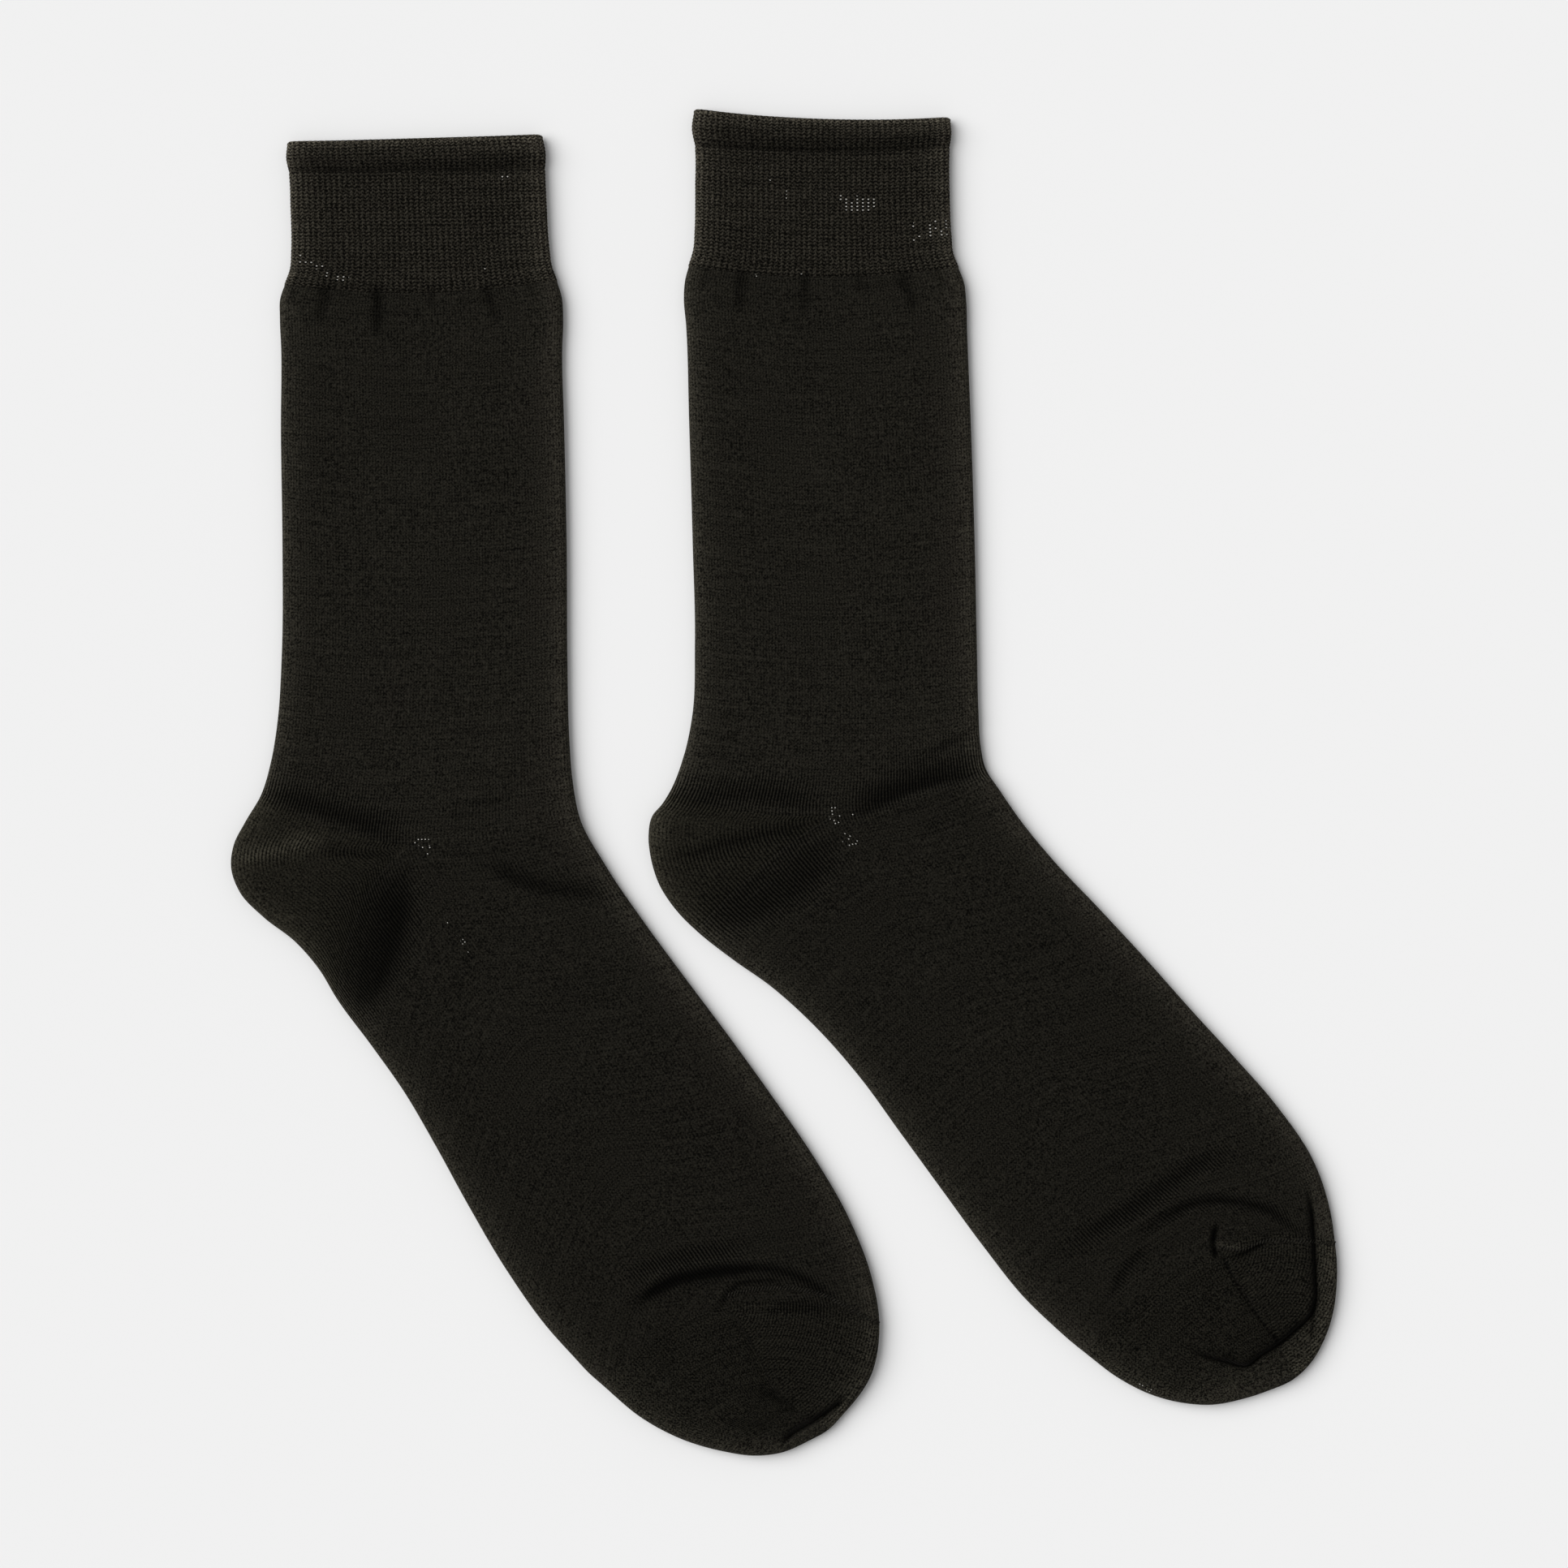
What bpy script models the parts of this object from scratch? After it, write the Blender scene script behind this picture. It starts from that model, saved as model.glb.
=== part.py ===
"""A pair of fine-knit dress socks, lying flat side by side with the toes towards -Y.

Each sock is a knitted tube pressed flat: a turned welt, a rib cuff, a leg, a heel pocket, a foot
and a toe pocket. Every stretch is a thin shell lofted through cross-sections of the sock, so the
mouth is open and the tube is hollow all the way to the toe.
Axes: +Y towards the cuffs, +Z up from the surface that the socks lie on.
"""

from collections import namedtuple

import bmesh
import bpy
import numpy as np

MM = 0.001  # the tables below are in millimetres, and Blender's unit is the metre

# Driving dimensions, in millimetres.
SEAM_GAP = 0.3  # clear space between neighbouring stretches
HEEL_POINT_GAP = 1.5  # from the side of the ankle to the point of the heel pocket
OUTLINE_STEPS = 8  # straight steps to each section when the outline is measured
EDGE_COLUMNS = (0.35, 1.1)  # columns beside a folded edge, in half thicknesses from it
FLAT_COLUMNS = 2  # columns between those and the side line, on each quarter of the tube

# One row per knitted stretch, from the mouth to the toe: the thickness of the wall, the number of
# lofted steps from one section to the next, and the colour and roughness of its yarn.
Stretch = namedtuple("Stretch", "name wall steps colour roughness")
STRETCHES = (
    Stretch("welt", 2.0, 1, (0.013, 0.012, 0.010), 0.90),
    Stretch("cuff", 1.4, 2, (0.013, 0.012, 0.010), 0.90),
    Stretch("leg", 1.0, 2, (0.011, 0.010, 0.008), 0.85),
    Stretch("heel", 1.4, 1, (0.014, 0.013, 0.011), 0.88),
    Stretch("foot", 1.0, 2, (0.010, 0.009, 0.007), 0.85),
    Stretch("toe", 1.4, 2, (0.008, 0.008, 0.006), 0.88),
)

# One row per cross-section. It runs over the sock from the front fold (shin and instep) to the
# side line, where the heel and toe pockets have their points, and on to the back fold (calf, heel
# and sole). "thick" is how high the sock stands there. A stretch begins at its first row and ends
# at the next one's. The rows of a heel pocket fan out from the side of the ankle.
Section = namedtuple("Section", "stretch front_x front_y side_x side_y back_x back_y thick")
LEFT_SOCK = (
    Section("welt", -74.6, 199.2, -113.8, 198.0, -153.0, 197.0, 5.2),
    Section("welt", -73.7, 194.6, -113.5, 193.6, -153.3, 193.0, 5.4),
    Section("cuff", -73.8, 190.0, -113.2, 189.4, -152.6, 189.0, 4.8),
    Section("cuff", -73.4, 178.8, -112.8, 178.0, -152.0, 177.5, 4.8),
    Section("cuff", -72.5, 165.0, -112.2, 164.0, -151.8, 164.2, 4.8),
    Section("cuff", -71.8, 160.0, -112.0, 158.0, -152.2, 158.8, 4.8),
    Section("leg", -70.0, 155.0, -112.0, 151.2, -154.0, 153.8, 4.8),
    Section("leg", -68.5, 150.0, -112.0, 145.6, -155.4, 149.5, 4.6),
    Section("leg", -68.1, 144.0, -111.8, 139.8, -155.5, 144.0, 4.6),
    Section("leg", -68.4, 134.0, -111.8, 131.0, -155.1, 134.0, 4.4),
    Section("leg", -67.8, 110.0, -111.5, 107.5, -155.2, 110.0, 4.4),
    Section("leg", -67.0, 72.5, -110.8, 70.5, -154.7, 72.5, 4.4),
    Section("leg", -66.8, 38.8, -111.0, 37.0, -154.9, 40.3, 4.4),
    Section("leg", -66.2, 13.8, -112.4, 9.2, -156.4, 17.8, 4.4),
    Section("leg", -65.3, 2.0, -113.8, -4.0, -158.2, 7.0, 4.6),
    Section("heel", -62.8, -10.9, -115.2, -18.8, -161.2, -3.2, 5.0),
    Section("heel", -62.8, -10.9, -115.2, -18.8, -166.2, -11.8, 5.0),
    Section("heel", -62.8, -10.9, -115.2, -18.8, -169.7, -18.8, 5.0),
    Section("heel", -62.8, -10.9, -115.2, -18.8, -170.5, -25.8, 5.0),
    Section("heel", -62.8, -10.9, -115.2, -18.8, -167.8, -33.4, 5.0),
    Section("heel", -62.8, -10.9, -115.2, -18.8, -160.6, -41.0, 5.0),
    Section("heel", -62.8, -10.9, -115.2, -18.8, -150.8, -48.6, 5.0),
    Section("heel", -62.8, -10.9, -115.2, -18.8, -143.2, -57.4, 5.0),
    Section("foot", -62.8, -10.9, -115.2, -18.8, -138.1, -65.9, 5.0),
    Section("foot", -55.0, -25.2, -104.0, -39.5, -127.0, -81.0, 4.6),
    Section("foot", -42.9, -43.0, -89.5, -60.0, -117.4, -94.6, 4.4),
    Section("foot", -30.3, -60.1, -75.0, -82.0, -107.5, -111.5, 4.4),
    Section("foot", -16.3, -78.8, -60.0, -104.0, -97.8, -129.2, 4.4),
    Section("foot", -2.9, -97.4, -45.5, -124.5, -85.4, -150.2, 4.4),
    Section("foot", 8.6, -114.1, -33.8, -141.0, -73.0, -167.6, 4.6),
    Section("foot", 20.6, -135.1, -25.5, -152.0, -64.8, -176.7, 4.8),
    Section("foot", 27.0, -152.0, -21.0, -157.5, -60.0, -181.8, 5.0),
    Section("toe", 29.4, -166.0, -18.0, -161.0, -56.0, -185.3, 5.2),
    Section("toe", 29.3, -171.0, -11.8, -169.8, -43.8, -195.5, 5.4),
    Section("toe", 28.5, -176.8, -7.5, -177.0, -31.5, -202.0, 5.4),
    Section("toe", 27.0, -182.0, -3.8, -184.8, -19.0, -205.7, 5.2),
    Section("toe", 24.4, -186.8, 1.5, -191.0, -9.0, -207.1, 5.0),
    Section("toe", 21.8, -190.3, 7.5, -195.0, -0.2, -206.0, 5.0),
    Section("toe", 18.6, -194.0, 12.0, -197.4, 7.1, -202.8, 5.0),
)
LEFT_TOE_TIP = (13.8, -199.0)
RIGHT_SOCK = (
    Section("welt", 51.1, 204.5, 11.5, 204.0, -27.6, 207.1, 5.2),
    Section("welt", 51.4, 200.6, 11.5, 199.8, -28.2, 202.0, 5.4),
    Section("cuff", 51.0, 196.8, 11.5, 195.5, -27.4, 197.2, 4.8),
    Section("cuff", 50.9, 182.5, 11.5, 181.8, -27.2, 183.8, 4.8),
    Section("cuff", 51.5, 168.8, 11.5, 167.5, -27.4, 170.5, 4.8),
    Section("cuff", 52.0, 163.8, 11.5, 161.8, -27.8, 164.9, 4.8),
    Section("leg", 53.8, 159.2, 11.5, 156.0, -29.4, 159.5, 4.8),
    Section("leg", 55.5, 154.7, 11.6, 151.4, -30.5, 155.4, 4.6),
    Section("leg", 56.2, 149.0, 11.8, 146.4, -30.9, 150.2, 4.6),
    Section("leg", 56.5, 139.4, 12.6, 137.6, -30.2, 141.3, 4.4),
    Section("leg", 57.6, 112.0, 13.8, 110.2, -29.3, 112.5, 4.4),
    Section("leg", 58.8, 75.0, 15.4, 72.6, -28.2, 75.0, 4.4),
    Section("leg", 59.5, 42.5, 16.6, 39.0, -27.5, 43.1, 4.4),
    Section("leg", 60.0, 21.9, 16.6, 15.6, -28.4, 20.4, 4.4),
    Section("leg", 60.6, 12.0, 16.2, 2.6, -31.0, 8.4, 4.6),
    Section("heel", 62.1, 5.0, 15.5, -9.5, -35.5, -2.9, 5.0),
    Section("heel", 62.1, 5.0, 15.5, -9.5, -37.6, -6.2, 5.0),
    Section("heel", 62.1, 5.0, 15.5, -9.5, -40.6, -9.8, 5.0),
    Section("heel", 62.1, 5.0, 15.5, -9.5, -41.8, -16.2, 5.0),
    Section("heel", 62.1, 5.0, 15.5, -9.5, -41.4, -21.0, 5.0),
    Section("heel", 62.1, 5.0, 15.5, -9.5, -40.4, -25.7, 5.0),
    Section("heel", 62.1, 5.0, 15.5, -9.5, -38.5, -31.0, 5.0),
    Section("heel", 62.1, 5.0, 15.5, -9.5, -35.7, -35.7, 5.0),
    Section("heel", 62.1, 5.0, 15.5, -9.5, -31.9, -40.5, 5.0),
    Section("foot", 62.1, 5.0, 15.5, -9.5, -27.3, -45.0, 5.0),
    Section("foot", 66.9, -2.5, 23.0, -21.8, -16.1, -53.9, 4.6),
    Section("foot", 72.7, -10.9, 32.0, -33.2, -4.2, -62.3, 4.4),
    Section("foot", 83.2, -23.7, 45.6, -49.2, 9.2, -74.4, 4.4),
    Section("foot", 96.2, -37.4, 59.2, -64.2, 23.1, -90.1, 4.4),
    Section("foot", 110.9, -53.2, 73.4, -80.8, 36.4, -108.3, 4.4),
    Section("foot", 125.6, -69.7, 87.4, -97.6, 49.0, -125.6, 4.4),
    Section("foot", 139.3, -84.7, 101.4, -113.2, 62.0, -143.3, 4.6),
    Section("foot", 151.6, -98.8, 114.0, -127.0, 74.1, -158.4, 4.6),
    Section("foot", 163.5, -116.7, 125.0, -136.0, 83.3, -167.3, 4.8),
    Section("foot", 168.3, -131.0, 130.0, -139.8, 88.6, -172.0, 5.0),
    Section("toe", 169.9, -141.5, 133.2, -142.6, 93.1, -175.6, 5.2),
    Section("toe", 170.5, -148.0, 137.0, -149.6, 103.2, -183.2, 5.4),
    Section("toe", 170.4, -154.5, 142.0, -157.0, 113.6, -188.4, 5.4),
    Section("toe", 169.6, -161.6, 146.8, -165.0, 123.5, -190.9, 5.2),
    Section("toe", 168.2, -167.2, 151.0, -171.6, 132.0, -191.4, 5.0),
    Section("toe", 166.3, -172.0, 154.2, -176.4, 140.8, -189.8, 5.0),
    Section("toe", 163.4, -177.2, 156.4, -180.6, 148.7, -187.3, 5.0),
)
RIGHT_TOE_TIP = (157.6, -183.2)

# One row per large fold in the upper cloth: a soft trough along a straight run, with a ridge of
# spare cloth beside it. "depth" is how far the trough sinks and "reach" its half width.
Fold = namedtuple("Fold", "start_x start_y end_x end_y depth reach")
LEFT_FOLDS = (
    Fold(-90.0, -27.0, -58.0, -34.0, 0.5, 5.0),
    Fold(-134.0, -34.0, -121.0, -68.0, 0.5, 8.0),
    Fold(-44.0, -160.0, -10.0, -149.5, 0.6, 5.0),
    Fold(-10.0, -149.5, 18.0, -161.0, 0.6, 5.0),
)
RIGHT_FOLDS = (
    Fold(25.0, -6.5, 58.0, 3.5, 0.6, 5.0),
    Fold(-30.0, -4.0, 10.0, -7.0, 0.5, 5.0),
    Fold(87.0, -145.5, 139.0, -112.5, 0.4, 6.0),
    Fold(162.5, -130.0, 163.0, -160.0, 0.6, 4.0),
    Fold(163.0, -160.0, 142.0, -178.0, 0.6, 4.0),
)


def chord_knots(points):
    """Lengths from the first point to each, along straight runs."""
    return np.concatenate([[0.0], np.cumsum(np.linalg.norm(np.diff(points, axis=0), axis=1))])


def spline(knots, values, at):
    """A cubic curve through the values, whose slope at each knot comes from its neighbours."""
    slopes = np.gradient(values, knots, axis=0)
    first = np.clip(np.searchsorted(knots, at, side="right") - 1, 0, len(knots) - 2)
    span = knots[first + 1] - knots[first]
    part = (at - knots[first]) / span
    start_weight = (1 + 2 * part) * (1 - part) ** 2
    end_weight = part**2 * (3 - 2 * part)
    start_pull = part * (1 - part) ** 2 * span
    end_pull = part**2 * (part - 1) * span
    return (
        start_weight * values[first]
        + end_weight * values[first + 1]
        + start_pull * slopes[first]
        + end_pull * slopes[first + 1]
    )


class Edge:
    """One of the three lines that run down a sock: its front fold, side line or back fold."""

    def __init__(self, sections, line):
        every = np.array([[getattr(s, line + "_x"), getattr(s, line + "_y")] for s in sections])
        moved = np.linalg.norm(np.diff(every, axis=0), axis=1) > 0
        self.points = every[np.concatenate([[True], moved])]
        self.knots = chord_knots(self.points)
        self.knot_of_row = chord_knots(every)

    def at(self, row, along=0.0):
        """The place at a row number, which may lie between two rows, moved along towards the toe."""
        knot = np.interp(row, np.arange(len(self.knot_of_row)), self.knot_of_row) + along
        return spline(self.knots, self.points, knot)


def distance_to_line(places, line):
    """How far each place is from a line of straight runs."""
    starts = line[:-1]
    runs = line[1:] - starts
    offsets = places[:, None, :] - starts[None, :, :]
    part = (offsets * runs).sum(2) / (runs**2).sum(1)
    nearest = offsets - np.clip(part, 0.0, 1.0)[:, :, None] * runs
    return np.linalg.norm(nearest, axis=2).min(1)


def fold_relief(places, folds):
    """How much the folds lift or lower the upper cloth at each place."""
    relief = np.zeros(len(places))
    for fold in folds:
        line = np.array([[fold.start_x, fold.start_y], [fold.end_x, fold.end_y]])
        away = distance_to_line(places, line) / fold.reach
        relief -= fold.depth * (1 - away**2) * np.exp(-(away**2))
    return relief


def quarter_columns(length, radius):
    """Distances from a folded edge of the columns on a quarter of the tube, edge and side left out."""
    edge = [min(share * radius, share * length / 3) for share in EDGE_COLUMNS]
    flat = np.linspace(edge[-1], length, FLAT_COLUMNS + 2)[1:-1]
    return np.concatenate([edge, flat])


def half_ring(side, fold, thick):
    """Columns of half a section, over the top from the side line round the fold and back below.

    Each column is x, y and a sign: 1 on top, 0 on the fold itself and -1 underneath.
    """
    length = np.linalg.norm(side - fold)
    shares = quarter_columns(length, thick / 2)[::-1] / length
    across = [fold + share * (side - fold) for share in shares]
    top = [(*place, 1) for place in [side, *across]]
    below = [(*place, -1) for place in across[::-1]]
    return [*top, (*fold, 0), *below]


def loft(rings, outline, folds, thicks, closed):
    """Joins rings of columns into one open surface whose faces point out of the sock."""
    columns = np.array(rings)
    flat = columns.reshape(-1, 3)
    radius = np.repeat(thicks, columns.shape[1]) / 2
    inward = np.minimum(distance_to_line(flat[:, :2], outline) / radius, 1.0)
    lift = np.sqrt(1 - (1 - inward) ** 2)
    height = radius + flat[:, 2] * radius * lift
    height += np.where(flat[:, 2] > 0, lift * fold_relief(flat[:, :2], folds), 0.0)
    shell = bmesh.new()
    points = np.column_stack([flat[:, :2], height]) * MM
    verts = [shell.verts.new(point) for point in points]
    width = columns.shape[1]
    for ring in range(len(rings) - 1):
        for column in range(width if closed else width - 1):
            here = ring * width + column
            beside = ring * width + (column + 1) % width
            corners = (verts[here], verts[beside], verts[beside + width], verts[here + width])
            shell.faces.new(corners)
    bmesh.ops.remove_doubles(shell, verts=shell.verts, dist=0.001 * MM)
    return shell


def yarn(stretch):
    """Dark combed-cotton yarn as one stretch is knitted from it."""
    material = bpy.data.materials.new(stretch.name + "_yarn")
    material.use_nodes = True
    shader = material.node_tree.nodes["Principled BSDF"]
    shader.inputs["Base Color"].default_value = (*stretch.colour, 1.0)
    shader.inputs["Roughness"].default_value = stretch.roughness
    shader.inputs["Metallic"].default_value = 0.0
    return material


def knit(collection, sock_name, stretch, shell):
    """Makes a lofted surface into cloth with the stretch's own wall, grown inwards."""
    mesh = bpy.data.meshes.new(f"{sock_name}_{stretch.name}")
    shell.to_mesh(mesh)
    shell.free()
    mesh.shade_smooth()
    mesh.materials.append(yarn(stretch))
    piece = bpy.data.objects.new(mesh.name, mesh)
    collection.objects.link(piece)
    wall = piece.modifiers.new("wall", "SOLIDIFY")
    wall.thickness = stretch.wall * MM
    wall.offset = -1.0
    wall.use_even_offset = True
    wall.use_rim = True
    return piece


def make_sock(collection, sock_name, sections, toe_tip, folds):
    """Lofts each stretch of one sock between its first section and the next stretch's."""
    front = Edge(sections, "front")
    side = Edge(sections, "side")
    back = Edge(sections, "back")
    rows = np.arange(len(sections))
    thick = np.array([section.thick for section in sections])
    names = [section.stretch for section in sections]
    last_row = len(sections) - 1
    fine_rows = np.linspace(0, last_row, last_row * OUTLINE_STEPS + 1)
    front_line = [front.at(row) for row in fine_rows]
    back_line = [back.at(row) for row in fine_rows]
    tip = np.array(toe_tip)
    outline = np.array([*front_line, tip, *back_line[::-1]])
    outline = outline[np.concatenate([[True], np.linalg.norm(np.diff(outline, axis=0), axis=1) > 0])]
    for stretch in STRETCHES:
        begin = names.index(stretch.name)
        end = min(begin + names.count(stretch.name), last_row)
        stations = np.linspace(begin, end, (end - begin) * stretch.steps + 1)
        rings = []
        for station in stations:
            along = 0.0
            if station == begin and begin > 0:
                along = SEAM_GAP / 2
            if station == end and end < last_row:
                along = -SEAM_GAP / 2
            height = np.interp(station, rows, thick)
            back_fold = back.at(station, along)
            if stretch.name == "heel":
                ankle = side.at(begin)
                towards_heel = back.at((begin + end) / 2) - ankle
                point = ankle + HEEL_POINT_GAP * towards_heel / np.linalg.norm(towards_heel)
                rings.append([*half_ring(point, back_fold, height), (*point, -1)])
                continue
            side_line = side.at(station, along)
            front_fold = front.at(station, along)
            back_half = half_ring(side_line, back_fold, height)
            front_half = half_ring(side_line, front_fold, height)
            lower_front = [(x, y, -sign) for x, y, sign in front_half]
            rings.append(back_half + lower_front)
        heights = np.interp(stations, rows, thick)
        if end == last_row:
            rings.append([(*tip, 0)] * len(rings[0]))
            heights = np.append(heights, thick[-1])
        shell = loft(rings, outline, folds, heights, closed=stretch.name != "heel")
        knit(collection, sock_name, stretch, shell)


for old in list(bpy.data.objects):
    bpy.data.objects.remove(old)
pair = bpy.data.collections.new("pair_of_socks")
bpy.context.scene.collection.children.link(pair)
make_sock(pair, "left", LEFT_SOCK, LEFT_TOE_TIP, LEFT_FOLDS)
make_sock(pair, "right", RIGHT_SOCK, RIGHT_TOE_TIP, RIGHT_FOLDS)
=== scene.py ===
"""A pair of fine-knit dress socks laid flat side by side, with the toes towards -Y.

Each sock is a flattened tube with an open mouth. The file follows it from the mouth to the toe:
turned welt, rib cuff, leg, heel pocket, foot, toe pocket and linking seam.
"""

from collections import namedtuple

import bmesh
import bpy
import numpy as np
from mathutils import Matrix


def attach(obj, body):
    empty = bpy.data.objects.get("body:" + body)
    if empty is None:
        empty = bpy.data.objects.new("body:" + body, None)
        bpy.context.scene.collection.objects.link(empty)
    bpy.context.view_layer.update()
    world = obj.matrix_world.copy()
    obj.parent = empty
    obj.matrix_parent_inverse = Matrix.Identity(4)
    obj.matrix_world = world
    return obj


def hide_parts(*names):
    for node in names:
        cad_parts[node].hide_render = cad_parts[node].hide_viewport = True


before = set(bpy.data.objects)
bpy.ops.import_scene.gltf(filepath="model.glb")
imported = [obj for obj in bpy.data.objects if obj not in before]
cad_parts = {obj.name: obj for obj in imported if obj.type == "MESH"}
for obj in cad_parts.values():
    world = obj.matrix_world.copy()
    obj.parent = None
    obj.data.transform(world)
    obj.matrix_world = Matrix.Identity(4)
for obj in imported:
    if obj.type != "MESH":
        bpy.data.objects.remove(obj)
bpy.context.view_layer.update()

# ---- Turned welts -------------------------------------------------------------------------
# The mouth of each sock is 1x1 rib knitted double and turned on the machine, so its edge is a
# soft rounded fold 8 mm deep with a groove below it. Combed cotton with elastic yarn laid in.

MM = 0.001  # tables are in millimetres
WELT_WALL = 1.9
RIBS_PER_HALF = 24  # ribs from the side line to a fold, so 96 go round the sock
RIB_STEPS = (RIBS_PER_HALF * 5, RIBS_PER_HALF * 3, 0)  # mesh columns on each half above and below
RIB_RISE = 0.20
STITCH_RISE = 0.07
COURSE = 1.1  # height of one row of stitches in the rib
COURSE_STEPS = 4  # rows of the mesh to one row of stitches
HALF_ROUND = 50  # wales of plain knit from the side line to a fold, so 200 go round
HEEL_THICK = 5


def fan(front_and_side, back_fold):
    """The rows of a heel pocket: they share a front fold and the side of the ankle, and fan out."""
    return [(*front_and_side, *place, HEEL_THICK) for place in back_fold]


# One row for each cross-section of the sock as it lies: its front fold (shin and instep), the side
# line where heel and toe have their points, its back fold (calf, heel and sole), and its height.
# Columns: front_x, front_y, side_x, side_y, back_x, back_y, thick.
LEFT_SOCK = {
    "welt": (
        (-74.6, 199.2, -113.8, 198, -153, 197, 5.2),
        (-73.7, 194.6, -113.5, 193.6, -153.3, 193, 5.4),
    ),
    "cuff": (
        (-73.8, 190, -113.2, 189.4, -152.6, 189, 4.8),
        (-73.4, 178.8, -112.8, 178, -152, 177.5, 4.8),
        (-72.5, 165, -112.2, 164, -151.8, 164.2, 4.8),
        (-71.8, 160, -112, 158, -152.2, 158.8, 4.8),
    ),
    "leg": (
        (-70, 155, -112, 151.2, -154, 153.8, 4.8),
        (-68.5, 150, -112, 145.6, -155.4, 149.5, 4.6),
        (-68.1, 144, -111.8, 139.8, -155.5, 144, 4.6),
        (-68.4, 134, -111.8, 131, -155.1, 134, 4.4),
        (-67.8, 110, -111.5, 107.5, -155.2, 110, 4.4),
        (-67, 72.5, -110.8, 70.5, -154.7, 72.5, 4.4),
        (-66.8, 38.8, -111, 37, -154.9, 40.3, 4.4),
        (-66.2, 13.8, -112.4, 9.2, -156.4, 17.8, 4.4),
        (-65.3, 2, -113.8, -4, -158.2, 7, 4.6),
    ),
    "heel": fan((-62.8, -10.9, -115.2, -18.8), ((-161.2, -3.2), (-166.2, -11.8), (-169.7, -18.8),
        (-170.5, -25.8), (-167.8, -33.4), (-160.6, -41), (-150.8, -48.6), (-143.2, -57.4))),
    "foot": (
        (-62.8, -10.9, -115.2, -18.8, -138.1, -65.9, 5),
        (-55, -25.2, -104, -39.5, -127, -81, 4.6),
        (-42.9, -43, -89.5, -60, -117.4, -94.6, 4.4),
        (-30.3, -60.1, -75, -82, -107.5, -111.5, 4.4),
        (-16.3, -78.8, -60, -104, -97.8, -129.2, 4.4),
        (-2.9, -97.4, -45.5, -124.5, -85.4, -150.2, 4.4),
        (8.6, -114.1, -33.8, -141, -73, -167.6, 4.6),
        (20.6, -135.1, -25.5, -152, -64.8, -176.7, 4.8),
        (27, -152, -21, -157.5, -60, -181.8, 5),
    ),
    "toe": (
        (29.4, -166, -18, -161, -56, -185.3, 5.2),
        (29.3, -171, -11.8, -169.8, -43.8, -195.5, 5.4),
        (28.5, -176.8, -7.5, -177, -31.5, -202, 5.4),
        (27, -182, -3.8, -184.8, -19, -205.7, 5.2),
        (24.4, -186.8, 1.5, -191, -9, -207.1, 5),
        (21.8, -190.3, 7.5, -195, -0.2, -206, 5),
        (18.6, -194, 12, -197.4, 7.1, -202.8, 5),
    ),
}
LEFT_TOE_TIP = (13.8, -199)
RIGHT_SOCK = {
    "welt": (
        (51.1, 204.5, 11.5, 204, -27.6, 207.1, 5.2),
        (51.4, 200.6, 11.5, 199.8, -28.2, 202, 5.4),
    ),
    "cuff": (
        (51, 196.8, 11.5, 195.5, -27.4, 197.2, 4.8),
        (50.9, 182.5, 11.5, 181.8, -27.2, 183.8, 4.8),
        (51.5, 168.8, 11.5, 167.5, -27.4, 170.5, 4.8),
        (52, 163.8, 11.5, 161.8, -27.8, 164.9, 4.8),
    ),
    "leg": (
        (53.8, 159.2, 11.5, 156, -29.4, 159.5, 4.8),
        (55.5, 154.7, 11.6, 151.4, -30.5, 155.4, 4.6),
        (56.2, 149, 11.8, 146.4, -30.9, 150.2, 4.6),
        (56.5, 139.4, 12.6, 137.6, -30.2, 141.3, 4.4),
        (57.6, 112, 13.8, 110.2, -29.3, 112.5, 4.4),
        (58.8, 75, 15.4, 72.6, -28.2, 75, 4.4),
        (59.5, 42.5, 16.6, 39, -27.5, 43.1, 4.4),
        (60, 21.9, 16.6, 15.6, -28.4, 20.4, 4.4),
        (60.6, 12, 16.2, 2.6, -31, 8.4, 4.6),
    ),
    "heel": fan((62.1, 5, 15.5, -9.5), ((-35.5, -2.9), (-37.6, -6.2), (-40.6, -9.8), (-41.8, -16.2),
        (-41.4, -21), (-40.4, -25.7), (-38.5, -31), (-35.7, -35.7), (-31.9, -40.5))),
    "foot": (
        (62.1, 5, 15.5, -9.5, -27.3, -45, 5),
        (66.9, -2.5, 23, -21.8, -16.1, -53.9, 4.6),
        (72.7, -10.9, 32, -33.2, -4.2, -62.3, 4.4),
        (83.2, -23.7, 45.6, -49.2, 9.2, -74.4, 4.4),
        (96.2, -37.4, 59.2, -64.2, 23.1, -90.1, 4.4),
        (110.9, -53.2, 73.4, -80.8, 36.4, -108.3, 4.4),
        (125.6, -69.7, 87.4, -97.6, 49, -125.6, 4.4),
        (139.3, -84.7, 101.4, -113.2, 62, -143.3, 4.6),
        (151.6, -98.8, 114, -127, 74.1, -158.4, 4.6),
        (163.5, -116.7, 125, -136, 83.3, -167.3, 4.8),
        (168.3, -131, 130, -139.8, 88.6, -172, 5),
    ),
    "toe": (
        (169.9, -141.5, 133.2, -142.6, 93.1, -175.6, 5.2),
        (170.5, -148, 137, -149.6, 103.2, -183.2, 5.4),
        (170.4, -154.5, 142, -157, 113.6, -188.4, 5.4),
        (169.6, -161.6, 146.8, -165, 123.5, -190.9, 5.2),
        (168.2, -167.2, 151, -171.6, 132, -191.4, 5),
        (166.3, -172, 154.2, -176.4, 140.8, -189.8, 5),
        (163.4, -177.2, 156.4, -180.6, 148.7, -187.3, 5),
    ),
}
RIGHT_TOE_TIP = (157.6, -183.2)

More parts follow.
